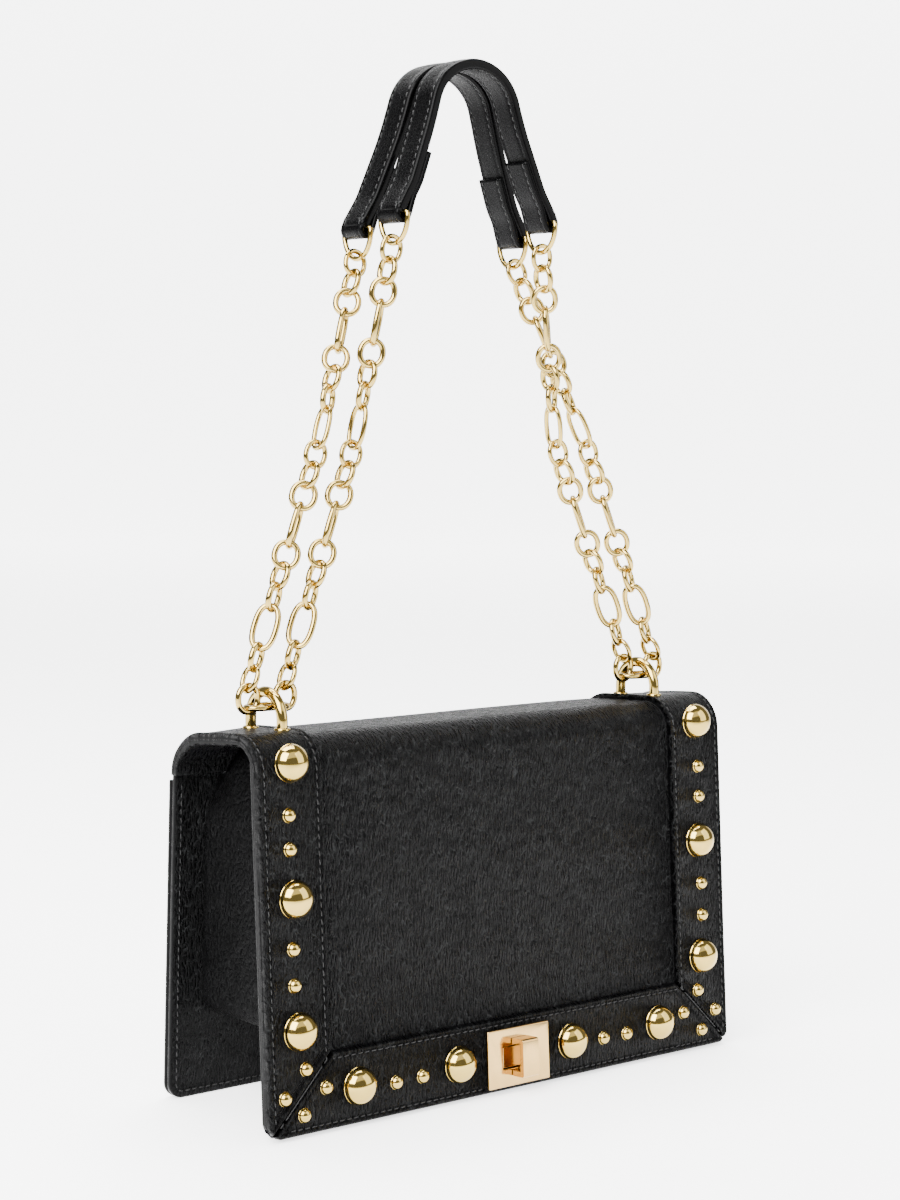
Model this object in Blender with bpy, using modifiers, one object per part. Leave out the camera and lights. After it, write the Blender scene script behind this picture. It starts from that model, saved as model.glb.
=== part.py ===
"""Studded crossbody bag: a stiff flap bag with domed studs, a turn lock and a chain strap.

X runs across the bag, -Y is its front and +Z is up. Metres. The origin is the middle of
the base of the whole object's box.
"""

from math import asin, atan2, cos, pi, radians, sin, sqrt, tan

import bmesh
import bpy
from mathutils import Matrix, Vector

# Body of the bag
flap_width = 0.270
bag_top = 0.167
front_floor_y = -0.034
front_lean = radians(4.0)
back_floor_y = 0.048
back_lean = radians(1.6)
shoulder_radius = 0.0140
seat_gap = 0.0003

# Leather
flap_leather = 0.0028
trim_leather = 0.0018
panel_leather = 0.0030
pocket_leather = 0.0024
gusset_leather = 0.0018
lining_thickness = 0.0010
corner_radius = 0.0070
corner_steps = 4
shoulder_steps = 6

# Flap and its stitched frame
flap_hinge_drop = 0.0215
flap_hinge_height = bag_top - flap_hinge_drop
flap_foot_clearance = 0.0010
trim_width = 0.0330
mitre_gap = 0.0006
flap_standoff = 0.0026

# Panels of the body
panel_inset = 0.0030
panel_top_drop = 0.0090
pocket_drop = 0.0030

# Gusset and lining
wing_width = 0.0172
gusset_pinch = 0.0070
gusset_pinch_height = 0.0260
gusset_base_height = 0.0380
gusset_bend_radius = 0.0090
gusset_top_drop = 0.0110
lining_standoff = 0.0034
lining_top_drop = 0.0040
inner_pocket_width = 0.150
inner_pocket_height = 0.075
inner_pocket_leather = 0.0012

# Domed studs
large_stud_diameter = 0.0165
large_stud_height = 0.0070
large_stud_rim = 0.0009
small_stud_diameter = 0.0064
small_stud_height = 0.0027
large_stud_inset = 0.0165
small_stud_inset = 0.0150
large_column_heights = (0.0450, 0.1005, 0.1575)
small_column_heights = (0.0645, 0.0797, 0.1215, 0.1358)
large_row_places = ((0.0886, 0.0173), (0.0332, 0.0173))
small_row_places = ((0.0682, 0.0153), (0.0536, 0.0155))
corner_stud_insets = ((0.0194, 0.0288), (0.0082, 0.0180), (0.0295, 0.0195), (0.0177, 0.0096))
large_stud_sides = 14
small_stud_sides = 8

# Turn lock
lock_plate_width = 0.0360
lock_plate_height = 0.0262
lock_plate_thickness = 0.0022
lock_plate_bevel = 0.0005
lock_height = 0.0164
window_width = 0.0192
window_height = 0.0106
window_margin = 0.0004
backing_thickness = 0.0008
backing_margin = 0.0030
base_flange_thickness = 0.0009
pedestal_recess = 0.0010
base_flange_margin = 0.0050
toggle_length = 0.0170
toggle_width = 0.0092
toggle_slab = 0.0023
toggle_reach = 0.0080
toggle_leg = 0.0026
toggle_stem_radius = 0.0022
toggle_foot_gap = 0.0004
rivet_radius = 0.0042
rivet_thickness = 0.0012
rivet_face_share = 0.6
bore_clearance = 0.0003
cut_overrun = 0.0020

# Strap arches on the flap
arch_inset = 0.0255
arch_y = 0.0050
arch_wire_radius = 0.0024
arch_half_span = 0.0116
arch_height = 0.0165
arch_flange_radius = 0.0032
arch_flange_height = 0.0010

# Chain
wire_radius = 0.00108
small_link_length = 0.0134
small_link_width = 0.0108
long_link_length = 0.0214
long_link_width = 0.0124
link_bite = 0.0005
hinge_gap = 0.0004
small_link_points = 8
long_link_points = 10
lower_pattern = "ssLsssLsss"
upper_pattern = "LsssLsss"
lower_run_in = 0.0410
chain_twist = radians(45)

# Shoulder pads
pad_width = 0.0156
pad_leather = 0.0042
pad_separation = 0.0230
pad_lean_back = 0.0115
rear_pad_half_span = 0.0455
front_pad_half_span = 0.0430
pad_rise = 0.0765
pad_crown_radius = 0.0260
pad_tab_length = 0.0300
pad_loop_leather = 0.0022
pad_crown_steps = 14
loop_steps = 6
ring_wire_radius = 0.0012
ring_width = 0.0192
ring_depth = 0.0128
ring_points = 8
ring_gap = 0.0008

leather_black = (0.012, 0.012, 0.013)
lining_black = (0.020, 0.019, 0.018)
edge_black = (0.016, 0.016, 0.017)
gold = (0.90, 0.66, 0.34)

half_width = flap_width / 2
arch_x = half_width - arch_inset
axis_x = Vector((1, 0, 0))
axis_z = Vector((0, 0, 1))
wire_diameter = 2 * wire_radius
smooth_angle = radians(30)
weld_distance = 0.00001


# Scene and helpers


def clear_scene():
    for thing in list(bpy.data.objects):
        bpy.data.objects.remove(thing, do_unlink=True)


def make_collection(name):
    group = bpy.data.collections.new(name)
    bpy.context.scene.collection.children.link(group)
    return group


def make_material(name, colour, roughness, metallic=0.0):
    material = bpy.data.materials.new(name)
    material.use_nodes = True
    shader = material.node_tree.nodes["Principled BSDF"]
    shader.inputs["Base Color"].default_value = (*colour, 1)
    shader.inputs["Roughness"].default_value = roughness
    shader.inputs["Metallic"].default_value = metallic
    return material


clear_scene()
bag_pieces = make_collection("studded_crossbody_bag")
helpers = make_collection("helpers")
helpers.hide_render = True
leather = make_material("pebbled_leather", leather_black, 0.45)
edge_paint = make_material("painted_leather", edge_black, 0.35)
cloth = make_material("lining_cloth", lining_black, 0.9)
metal = make_material("polished_gold", gold, 0.15, 1.0)
base = bpy.data.objects.new("bag_base", None)
bag_pieces.objects.link(base)


def add_piece(name, mesh, material):
    """An object of this mesh, in the bag's collection, shaded smooth up to an angle."""
    piece = bpy.data.objects.new(name, mesh)
    mesh.materials.clear()
    mesh.materials.append(material)
    mesh.shade_smooth()
    mesh.set_sharp_from_angle(angle=smooth_angle)
    bag_pieces.objects.link(piece)
    piece.parent = base
    return piece


def frozen_mesh(piece):
    """The evaluated mesh of an object in its own frame, with loose caps welded."""
    bpy.context.view_layer.update()
    graph = bpy.context.evaluated_depsgraph_get()
    mesh = bpy.data.meshes.new_from_object(piece.evaluated_get(graph))
    shell = bmesh.new()
    shell.from_mesh(mesh)
    bmesh.ops.remove_doubles(shell, verts=shell.verts, dist=weld_distance)
    bmesh.ops.recalc_face_normals(shell, faces=shell.faces)
    shell.to_mesh(mesh)
    shell.free()
    return mesh


def baked(piece, matrix=None):
    """The object's evaluated mesh moved by a matrix; the object itself is removed."""
    mesh = frozen_mesh(piece)
    if matrix is not None:
        mesh.transform(matrix)
    bpy.data.objects.remove(piece, do_unlink=True)
    return mesh


def joined(meshes):
    """One mesh of several that don't touch."""
    shell = bmesh.new()
    for mesh in meshes:
        shell.from_mesh(mesh)
    whole = bpy.data.meshes.new("joined")
    shell.to_mesh(whole)
    shell.free()
    return whole


def combined(first, second, operation="UNION"):
    """The mesh of a Boolean between two closed meshes."""
    target = bpy.data.objects.new("boolean_target", first)
    tool = bpy.data.objects.new("boolean_tool", second)
    for helper in (target, tool):
        helpers.objects.link(helper)
    tool.hide_render = True
    tool.display_type = "WIRE"
    step = target.modifiers.new("combine", "BOOLEAN")
    step.operation = operation
    step.solver = "EXACT"
    step.object = tool
    result = frozen_mesh(target)
    for helper in (target, tool):
        bpy.data.objects.remove(helper, do_unlink=True)
    return result


def box_mesh(size, centre=(0, 0, 0), bevel=0):
    """A box by its size and centre, its edges bevelled."""
    shell = bmesh.new()
    bmesh.ops.create_cube(shell, size=1)
    bmesh.ops.scale(shell, vec=size, verts=shell.verts)
    if bevel:
        bmesh.ops.bevel(shell, geom=shell.edges, offset=bevel, segments=1, affect="EDGES")
    bmesh.ops.translate(shell, vec=centre, verts=shell.verts)
    mesh = bpy.data.meshes.new("box")
    shell.to_mesh(mesh)
    shell.free()
    return mesh


def turned_mesh(profile, sides):
    """A profile of (radius, height), top to bottom, turned round the local Z axis."""
    mesh = bpy.data.meshes.new("profile")
    points = [(radius, 0, height) for radius, height in profile]
    mesh.from_pydata(points, [(i, i + 1) for i in range(len(points) - 1)], [])
    piece = bpy.data.objects.new("turned", mesh)
    helpers.objects.link(piece)
    turn = piece.modifiers.new("turn", "SCREW")
    turn.steps = sides
    turn.render_steps = sides
    turn.use_merge_vertices = True
    turn.merge_threshold = weld_distance
    return baked(piece)


def tube_mesh(points, radius, cyclic=False, resolution=1):
    """A round wire along points, closed on itself or capped."""
    curve = bpy.data.curves.new("wire", "CURVE")
    curve.dimensions = "3D"
    curve.bevel_depth = radius
    curve.bevel_resolution = resolution
    curve.use_fill_caps = not cyclic
    line = curve.splines.new("POLY")
    line.points.add(len(points) - 1)
    for place, point in zip(line.points, points):
        place.co = (*point, 1)
    line.use_cyclic_u = cyclic
    piece = bpy.data.objects.new("wire", curve)
    helpers.objects.link(piece)
    return baked(piece)


def slab_mesh(outlines, thickness, matrix=None):
    """Flat outlines in the local XY plane, with holes, extruded to a thickness about it."""
    curve = bpy.data.curves.new("outline", "CURVE")
    curve.dimensions = "2D"
    curve.fill_mode = "BOTH"
    curve.extrude = thickness / 2
    for outline in outlines:
        line = curve.splines.new("POLY")
        line.points.add(len(outline) - 1)
        for place, point in zip(line.points, outline):
            place.co = (point[0], point[1], 0, 1)
        line.use_cyclic_u = True
    piece = bpy.data.objects.new("outline", curve)
    helpers.objects.link(piece)
    return baked(piece, matrix)


def sheet_mesh(rows, thickness, offset=-1):
    """A sheet through rows of points with equal counts, thickened to one side."""
    count = len(rows[0])
    points = [point for row in rows for point in row]
    faces = []
    for i in range(len(rows) - 1):
        for j in range(count - 1):
            start = i * count + j
            faces.append((start, start + 1, start + count + 1, start + count))
    mesh = bpy.data.meshes.new("sheet")
    mesh.from_pydata(points, [], faces)
    piece = bpy.data.objects.new("sheet", mesh)
    helpers.objects.link(piece)
    shell = piece.modifiers.new("thickness", "SOLIDIFY")
    shell.thickness = thickness
    shell.offset = offset
    shell.use_even_offset = True
    return baked(piece)


# Frames of the leaning front and back


def front_frame(out=0.0):
    """Local X across, Y up the front, Z out of it; out is a distance outwards."""
    up = Vector((0, sin(front_lean), cos(front_lean)))
    normal = Vector((0, -cos(front_lean), sin(front_lean)))
    start = Vector((0, front_floor_y, 0)) + normal * out
    return frame_of(axis_x, up, normal, start)


def back_frame(out=0.0):
    up = Vector((0, -sin(back_lean), cos(back_lean)))
    normal = Vector((0, cos(back_lean), sin(back_lean)))
    start = Vector((0, back_floor_y, 0)) + normal * out
    return frame_of(-axis_x, up, normal, start)


def frame_of(x, y, z, start):
    matrix = Matrix((x, y, z)).transposed().to_4x4()
    matrix.translation = start
    return matrix


def rounded_path(corners, radius, steps):
    """A line through corners, each inner one rounded by an arc of this radius."""
    path = [Vector(corners[0])]
    for before, corner, after in zip(corners, corners[1:], corners[2:]):
        corner = Vector(corner)
        into = (Vector(before) - corner).normalized()
        away = (Vector(after) - corner).normalized()
        half = into.angle(away) / 2
        reach = radius / tan(half)
        centre = corner + (into + away).normalized() * (radius / sin(half))
        start = corner + into * reach - centre
        end = corner + away * reach - centre
        turn = start.angle(end)
        for i in range(steps + 1):
            share = i / steps
            arm = start * sin((1 - share) * turn) + end * sin(share * turn)
            path.append(centre + arm / sin(turn))
    path.append(Vector(corners[-1]))
    return path


def arc(centre, radius, start, end, steps):
    """Points (x, y) along an arc between two angles."""
    angles = [start + (end - start) * i / steps for i in range(steps + 1)]
    return [(centre[0] + radius * cos(a), centre[1] + radius * sin(a)) for a in angles]


def panel_outline(half_width, foot, head, radius, steps):
    """A panel with rounded lower corners, from its foot to its head."""
    low = foot + radius
    left = arc((radius - half_width, low), radius, pi, 1.5 * pi, steps)
    right = arc((half_width - radius, low), radius, 1.5 * pi, 2 * pi, steps)
    return [(-half_width, head)] + left + right + [(half_width, head)]


def front_y(z, out=0.0):
    """The front line of the flap's leather, moved outwards."""
    return front_floor_y + tan(front_lean) * z - out / cos(front_lean)


def back_y(z, out=0.0):
    return back_floor_y - tan(back_lean) * z + out / cos(back_lean)


# Flap


def flap_path(out):
    """(y, z) up the back, over the top and down the front to the corner arcs."""
    top = bag_top + out
    front_end = (flap_foot_clearance + corner_radius) * cos(front_lean) + out * sin(front_lean)
    corners = [
        (back_y(flap_hinge_height, out), flap_hinge_height),
        (back_y(top, out), top),
        (front_y(top, out), top),
        (front_y(front_end, out), front_end),
    ]
    return rounded_path(corners, shoulder_radius + out, shoulder_steps)


def front_point(x, up, out):
    return front_frame(out) @ Vector((x, up, 0))


def flap_panel():
    half = flap_width / 2
    rows = [[(half, y, z), (-half, y, z)] for y, z in flap_path(0)]
    for x, up in arc((half - corner_radius, flap_foot_clearance + corner_radius),
                     corner_radius, 0, -pi / 2, corner_steps)[1:]:
        rows.append([front_point(x, up, 0), front_point(-x, up, 0)])
    mesh = sheet_mesh(rows, flap_leather)
    return add_piece("flap_panel", combined(mesh, window_cutter(), "DIFFERENCE"), leather)


def window_cutter():
    """A box through everything that the turn lock's window passes."""
    depth = flap_leather + trim_leather + lock_plate_thickness + cut_overrun
    mesh = box_mesh((window_width, window_height, 2 * depth + cut_overrun), (0, lock_height, 0))
    mesh.transform(front_frame())
    return mesh


def dome_profile(diameter, height, rim, steps=4):
    """Top to bottom: a flattened dome over a short straight rim."""
    radius = diameter / 2
    turns = [pi / 2 * i / steps for i in range(steps + 1)]
    dome = [(radius * sin(a), rim + (height - rim) * cos(a)) for a in turns]
    return dome + [(radius, 0), (0, 0)]


def trim_out():
    return seat_gap + trim_leather


def small_stud_meshes(places):
    """Small domes set into the trim's face at (x, up)."""
    sunk = small_stud_height / 3
    meshes = []
    for x, up in places:
        profile = dome_profile(small_stud_diameter, small_stud_height + sunk, sunk / 2, 3)
        mesh = turned_mesh(profile, small_stud_sides)
        mesh.transform(front_frame(trim_out() - sunk) @ Matrix.Translation((x, up, 0)))
        meshes.append(mesh)
    return joined(meshes)


def side_trim(side):
    """A strip down one edge, over the top and mitred at the lower corner, with its small studs."""
    half = flap_width / 2
    inner = half - trim_width
    out = trim_out()
    foot = flap_foot_clearance
    rows = [(y, z, inner, half) for y, z in flap_path(out)[:-1]]
    rows = [[(side * a, y, z), (side * b, y, z)] for y, z, a, b in rows]
    mitre_turn = mitre_gap / corner_radius / sqrt(2)
    edge = arc((half - corner_radius, foot + corner_radius), corner_radius,
               0, mitre_turn - pi / 4, corner_steps)
    for i, (x, up) in enumerate(edge):
        inner_up = foot + trim_width + mitre_gap + corner_radius * (1 - i / corner_steps)
        rows.append([front_point(side * inner, inner_up, out), front_point(side * x, up, out)])
    if side > 0:
        rows = [row[::-1] for row in rows]
    mesh = sheet_mesh(rows, trim_leather)
    columns = [(half - small_stud_inset, up) for up in small_column_heights]
    corners = [(half - inset, up) for inset, up in corner_stud_insets[:2]]
    places = [(side * x, up) for x, up in columns + corners]
    mesh = combined(mesh, small_stud_meshes(places))
    name = "flap_trim_right" if side > 0 else "flap_trim_left"
    return add_piece(name, mesh, leather)


def bottom_trim():
    half = flap_width / 2
    foot = flap_foot_clearance
    mitre_turn = mitre_gap / corner_radius / sqrt(2)
    corner = arc((half - corner_radius, foot + corner_radius), corner_radius,
                 -pi / 4 - mitre_turn, -pi / 2, corner_steps)
    right = [(half - trim_width - mitre_gap, foot + trim_width)] + corner
    outline = right + [(-x, up) for x, up in reversed(right)]
    mesh = slab_mesh([outline], trim_leather, front_frame(trim_out() - trim_leather / 2))
    corners = [(half - inset, up) for inset, up in corner_stud_insets[2:]]
    half_places = list(small_row_places) + corners
    places = [(side * x, up) for side in (-1, 1) for x, up in half_places]
    mesh = combined(mesh, small_stud_meshes(places))
    mesh = combined(mesh, window_cutter(), "DIFFERENCE")
    return add_piece("flap_trim_bottom", mesh, leather)


def large_studs():
    profile = dome_profile(large_stud_diameter, large_stud_height, large_stud_rim)
    mesh = turned_mesh(profile, large_stud_sides)
    columns = [(half_width - large_stud_inset, up) for up in large_column_heights]
    seat = front_frame(trim_out() + seat_gap)
    for side, word in ((-1, "left"), (1, "right")):
        for i, (x, up) in enumerate(columns + list(large_row_places)):
            stud = add_piece(f"large_stud_{word}_{i + 1}", mesh.copy(), metal)
            stud.matrix_local = seat @ Matrix.Translation((side * x, up, 0))


# Body panels


def front_panel_out():
    return -(flap_leather + flap_standoff)


def circle(radius, centre=(0, 0), steps=12):
    return arc(centre, radius, 0, 2 * pi, steps)[:-1]


def body_panels():
    half = flap_width / 2 - panel_inset
    depth = panel_leather - front_panel_out()
    foot = depth * tan(front_lean)
    head = (bag_top - panel_top_drop) / cos(front_lean)
    outline = panel_outline(half, foot, head, corner_radius, corner_steps)
    hole = circle(toggle_stem_radius + bore_clearance, (0, lock_height))
    seat = front_frame(front_panel_out() - panel_leather / 2)
    add_piece("front_panel", slab_mesh([outline, hole], panel_leather, seat), leather)

    foot = panel_leather * tan(back_lean)
    head = (flap_hinge_height - seat_gap) / cos(back_lean)
    outline = panel_outline(half, foot, head, corner_radius, corner_steps)
    mesh = slab_mesh([outline], panel_leather, back_frame(-panel_leather / 2))
    add_piece("back_panel", mesh, leather)

    head -= pocket_drop
    outline = panel_outline(half, 0, head, corner_radius, corner_steps)
    mesh = slab_mesh([outline], pocket_leather, back_frame(seat_gap + pocket_leather / 2))
    add_piece("rear_pocket_panel", mesh, leather)


def inner_front_y(z, more=0.0):
    return front_y(z, front_panel_out() - panel_leather - more)


def inner_back_y(z, more=0.0):
    return back_y(z, -panel_leather - more)


def gusset_path(inward, top):
    """(x, z) down one side, across the base and up the other, moved into the bag."""
    wide = flap_width / 2 - panel_inset - wing_width - inward
    pinched = wide - gusset_pinch
    low = gusset_base_height + inward
    left = [(-pinched, top), (-wide, bag_top - gusset_top_drop - gusset_pinch_height), (-wide, low)]
    corners = left + [(-x, z) for x, z in reversed(left)]
    return rounded_path(corners, gusset_bend_radius, 3)


def gusset():
    room = 2 * seat_gap
    rows = []
    for x, z in gusset_path(0, bag_top - gusset_top_drop):
        rows.append([(x, inner_front_y(z, room), z), (x, inner_back_y(z, room), z)])
    add_piece("gusset", sheet_mesh(rows, gusset_leather, 1), leather)


def lining():
    """A thin open box seated on the gusset and the back panel, clear of the lock's rivet."""
    top = bag_top - gusset_top_drop - lining_top_drop
    path = gusset_path(seat_gap, top)
    count = len(path)
    front = [(x, inner_front_y(z, lining_standoff), z) for x, z in path]
    rear = [(x, inner_back_y(z, 2 * seat_gap), z) for x, z in path]
    faces = [tuple(range(count)), tuple(reversed(range(count, 2 * count)))]
    faces += [(i + 1, i, count + i, count + i + 1) for i in range(count - 1)]
    mesh = bpy.data.meshes.new("lining")
    mesh.from_pydata(front + rear, [], faces)
    piece = bpy.data.objects.new("lining_sheet", mesh)
    helpers.objects.link(piece)
    shell = piece.modifiers.new("thickness", "SOLIDIFY")
    shell.thickness = lining_thickness
    shell.offset = -1
    shell.use_even_offset = True
    add_piece("lining", baked(piece), cloth)


def inner_pocket():
    out = panel_leather + lining_thickness + 3 * seat_gap
    head = bag_top - gusset_top_drop - lining_top_drop - gusset_pinch_height / 2
    half = inner_pocket_width / 2
    outline = panel_outline(half, head - inner_pocket_height, head, corner_radius, corner_steps)
    seat = back_frame(-out - inner_pocket_leather / 2)
    add_piece("inner_pocket", slab_mesh([outline], inner_pocket_leather, seat), cloth)


# Turn lock


def plate_front():
    return trim_out() + seat_gap + lock_plate_thickness


def at_lock(out):
    return front_frame(out) @ Matrix.Translation((0, lock_height, 0))


def lock_pieces():
    size = (lock_plate_width, lock_plate_height, lock_plate_thickness)
    mesh = box_mesh(size, (0, 0, 0), lock_plate_bevel)
    mesh.transform(at_lock(plate_front() - lock_plate_thickness / 2))
    add_piece("lock_plate", combined(mesh, window_cutter(), "DIFFERENCE"), metal)

    size = (window_width + 2 * backing_margin, window_height + 2 * backing_margin, backing_thickness)
    mesh = box_mesh(size)
    mesh.transform(at_lock(-flap_leather - seat_gap - backing_thickness / 2))
    add_piece("lock_backing", combined(mesh, window_cutter(), "DIFFERENCE"), metal)

    bottom = front_panel_out() + seat_gap
    wide = window_width + 2 * base_flange_margin
    flange = box_mesh((wide, window_height, base_flange_thickness))
    flange.transform(at_lock(bottom + base_flange_thickness / 2))
    middle = bottom + base_flange_thickness / 2
    top = plate_front() - pedestal_recess
    size = (window_width - 2 * window_margin, window_height - 2 * window_margin, top - middle)
    pedestal = box_mesh(size)
    pedestal.transform(at_lock((top + middle) / 2))
    mesh = combined(flange, pedestal)
    bore = toggle_stem_radius + bore_clearance
    profile = [(0, cut_overrun), (bore, cut_overrun), (bore, bottom - top - cut_overrun),
               (0, bottom - top - cut_overrun)]
    cutter = turned_mesh(profile, 12)
    cutter.transform(at_lock(top))
    add_piece("toggle_base", combined(mesh, cutter, "DIFFERENCE"), metal)

    back = front_panel_out() - panel_leather - seat_gap
    half = wide / 2
    side = window_height / 2
    outline = [(-half, -side), (half, -side), (half, side), (-half, side)]
    seat = at_lock(back - backing_thickness / 2)
    mesh = slab_mesh([outline, circle(bore)], backing_thickness, seat)
    add_piece("toggle_base_backing", mesh, metal)

    toggle_pieces(back - backing_thickness - seat_gap)


def toggle_pieces(stem_end):
    """The bridge that is gripped and turned, on its stem, and the rivet that keeps it."""
    half = toggle_length / 2
    foot = toggle_foot_gap
    under = toggle_reach - toggle_slab
    chamfer = toggle_slab / 3
    side = [(half, foot), (half, toggle_reach - chamfer), (half - chamfer, toggle_reach)]
    inside = [(half - toggle_leg, under), (half - toggle_leg, foot)]
    right = side
    left = [(-x, z) for x, z in reversed(side)]
    inner = [(-x, z) for x, z in reversed(inside)] + inside
    outline = right + left + inner
    turn = frame_of(Vector((0, 1, 0)), axis_z, axis_x, Vector((0, 0, 0)))
    bridge = slab_mesh([outline], toggle_width, at_lock(plate_front()) @ turn)
    length = plate_front() + toggle_reach - toggle_slab / 2 - stem_end
    radius = toggle_stem_radius
    stem = turned_mesh([(0, length), (radius, length), (radius, 0), (0, 0)], 12)
    stem.transform(at_lock(stem_end))
    toggle = combined(bridge, stem)
    add_piece("turn_toggle", toggle, metal)

    top = rivet_radius * rivet_face_share
    profile = [(0, 0), (rivet_radius, 0), (rivet_radius, -rivet_thickness / 2),
               (top, -rivet_thickness), (0, -rivet_thickness)]
    rivet = turned_mesh(profile, 12)
    rivet.transform(at_lock(stem_end - seat_gap))
    add_piece("toggle_rivet", rivet, metal)


# Arches and chain


def trim_top():
    return bag_top + trim_out()


def arch_crown():
    """Height of the arch wire's centre line at its crown."""
    return trim_top() + seat_gap + arch_height - arch_wire_radius


def arch(side):
    word = "right" if side > 0 else "left"
    foot = trim_top() + seat_gap
    spring = arch_crown() - arch_half_span
    bow = arc((arch_y, spring), arch_half_span, pi, 0, 8)
    ends = [(arch_y - arch_half_span, foot), (arch_y + arch_half_span, foot)]
    line = [ends[0]] + bow + [ends[1]]
    mesh = tube_mesh([(side * arch_x, y, z) for y, z in line], arch_wire_radius)
    flanges = []
    for y, z in ends:
        radius = arch_flange_radius
        profile = [(0, arch_flange_height), (radius, arch_flange_height), (radius, 0), (0, 0)]
        flange = turned_mesh(profile, 10)
        flange.transform(Matrix.Translation((side * arch_x, y, z)))
        flanges.append(flange)
    add_piece(f"strap_arch_{word}", combined(mesh, joined(flanges)), metal)


def link_size(kind):
    if kind == "L":
        return long_link_length, long_link_width, long_link_points
    return small_link_length, small_link_width, small_link_points


def link_mesh(kind, centre, along, aside):
    """A link as a closed wire whose ends are flat where the next link bears."""
    length, width, count = link_size(kind)
    flat = cos(pi / count)
    reach = (length / 2 - wire_radius) / flat
    spread = (width / 2 - wire_radius) / flat
    points = []
    for i in range(count):
        turn = 2 * pi * (i + 0.5) / count
        points.append(centre + along * reach * cos(turn) + aside * spread * sin(turn))
    return tube_mesh(points, wire_radius, cyclic=True)


def wire_span(kind):
    """From the middle of a link's end wire to the middle of the other."""
    return link_size(kind)[0] - wire_diameter


def run_length(pattern):
    spans = sum(wire_span(kind) for kind in pattern)
    return spans - (wire_diameter + hinge_gap) - (len(pattern) - 1) * (wire_diameter - link_bite)


def run_mesh(pattern, start, end):
    """Links from just above one hinge wire to the wire of the next hinge, fused where they bear."""
    along = (end - start).normalized()
    aside = (axis_x - along * axis_x.dot(along)).normalized()
    across = along.cross(aside)
    place = -(wire_diameter + hinge_gap)
    sets = ([], [])
    for i, kind in enumerate(pattern):
        centre = start + along * (place + wire_span(kind) / 2)
        place += wire_span(kind) - wire_diameter + link_bite
        twist = Matrix.Rotation(chain_twist * sin(pi * (i + 0.5) / len(pattern)), 3, along)
        sets[i % 2].append(link_mesh(kind, centre, along, twist @ (aside if i % 2 else across)))
    return combined(joined(sets[0]), joined(sets[1]))


def under_arch():
    """Height of the flat link that lies in the arch, its sides just under the bow."""
    inside = arch_half_span - arch_wire_radius - seat_gap
    room = sqrt(inside ** 2 - (long_link_width / 2) ** 2)
    return arch_crown() - arch_half_span + room - wire_radius


def chain_start(side, lane):
    """The hinge wire over the arch; lane is 1 for the outer run and -1 for the inner."""
    low = under_arch()
    rise = wire_span("s") - wire_diameter + link_bite
    x = side * (arch_x + lane * wire_span("L") / 2)
    return Vector((x, arch_y, low + rise))


def arch_chain(side):
    """The long link lying through the arch and the first link of each run, fused."""
    word = "right" if side > 0 else "left"
    centre = Vector((side * arch_x, arch_y, under_arch()))
    bottom = link_mesh("L", centre, axis_x, Vector((0, 1, 0)))
    first = []
    for lane in (-1, 1):
        top = chain_start(side, lane)
        first.append(link_mesh("s", top - axis_z * wire_span("s") / 2, axis_z, axis_x))
    add_piece(f"arch_links_{word}", combined(bottom, joined(first)), metal)


def lower_rise():
    lean = lower_lean()
    return sqrt(run_length(lower_pattern) ** 2 - lower_run_in ** 2 - lean ** 2)


def lower_lean():
    lower = run_length(lower_pattern)
    return pad_lean_back * lower / (lower + run_length(upper_pattern))


def middle_point(side, lane):
    return chain_start(side, lane) + Vector((-side * lower_run_in, lower_lean(), lower_rise()))


def pad_y(lane):
    """The rear pad takes the outer runs and the front pad the inner ones."""
    return arch_y + pad_lean_back + lane * pad_separation / 2


def pad_half_span(lane):
    return rear_pad_half_span if lane > 0 else front_pad_half_span


def ring_point(side, lane):
    """The hinge wire at the top of a run, where the pad's ring hangs."""
    start = middle_point(side, lane)
    x = side * pad_half_span(lane)
    y = pad_y(lane)
    rise = sqrt(run_length(upper_pattern) ** 2 - (x - start.x) ** 2 - (y - start.y) ** 2)
    return Vector((x, y, start.z + rise))


def chain_runs():
    for side, word in ((-1, "left"), (1, "right")):
        for lane, place in ((-1, "inner"), (1, "outer")):
            start, middle = chain_start(side, lane), middle_point(side, lane)
            lower = run_mesh(lower_pattern, start, middle)
            add_piece(f"chain_lower_{word}_{place}", lower, metal)
            upper = run_mesh(upper_pattern, middle, ring_point(side, lane))
            add_piece(f"chain_upper_{word}_{place}", upper, metal)


# Shoulder pads


def bar_height(lane):
    """Height of a ring's bar, its bow hanging from the chain's top wire."""
    seat = wire_radius + ring_wire_radius + ring_gap
    return ring_point(1, lane).z - seat + ring_depth


def pad_ring(side, lane):
    word = "right" if side > 0 else "left"
    place = "rear" if lane > 0 else "front"
    x = side * pad_half_span(lane)
    half = ring_width / 2
    points = []
    for i in range(ring_points + 1):
        turn = pi * i / ring_points
        points.append((x, pad_y(lane) + half * cos(turn), bar_height(lane) - ring_depth * sin(turn)))
    mesh = tube_mesh(points, ring_wire_radius, cyclic=True)
    add_piece(f"{place}_pad_ring_{word}", mesh, metal)


def pad_apex_height():
    return bar_height(1) + pad_rise


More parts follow.
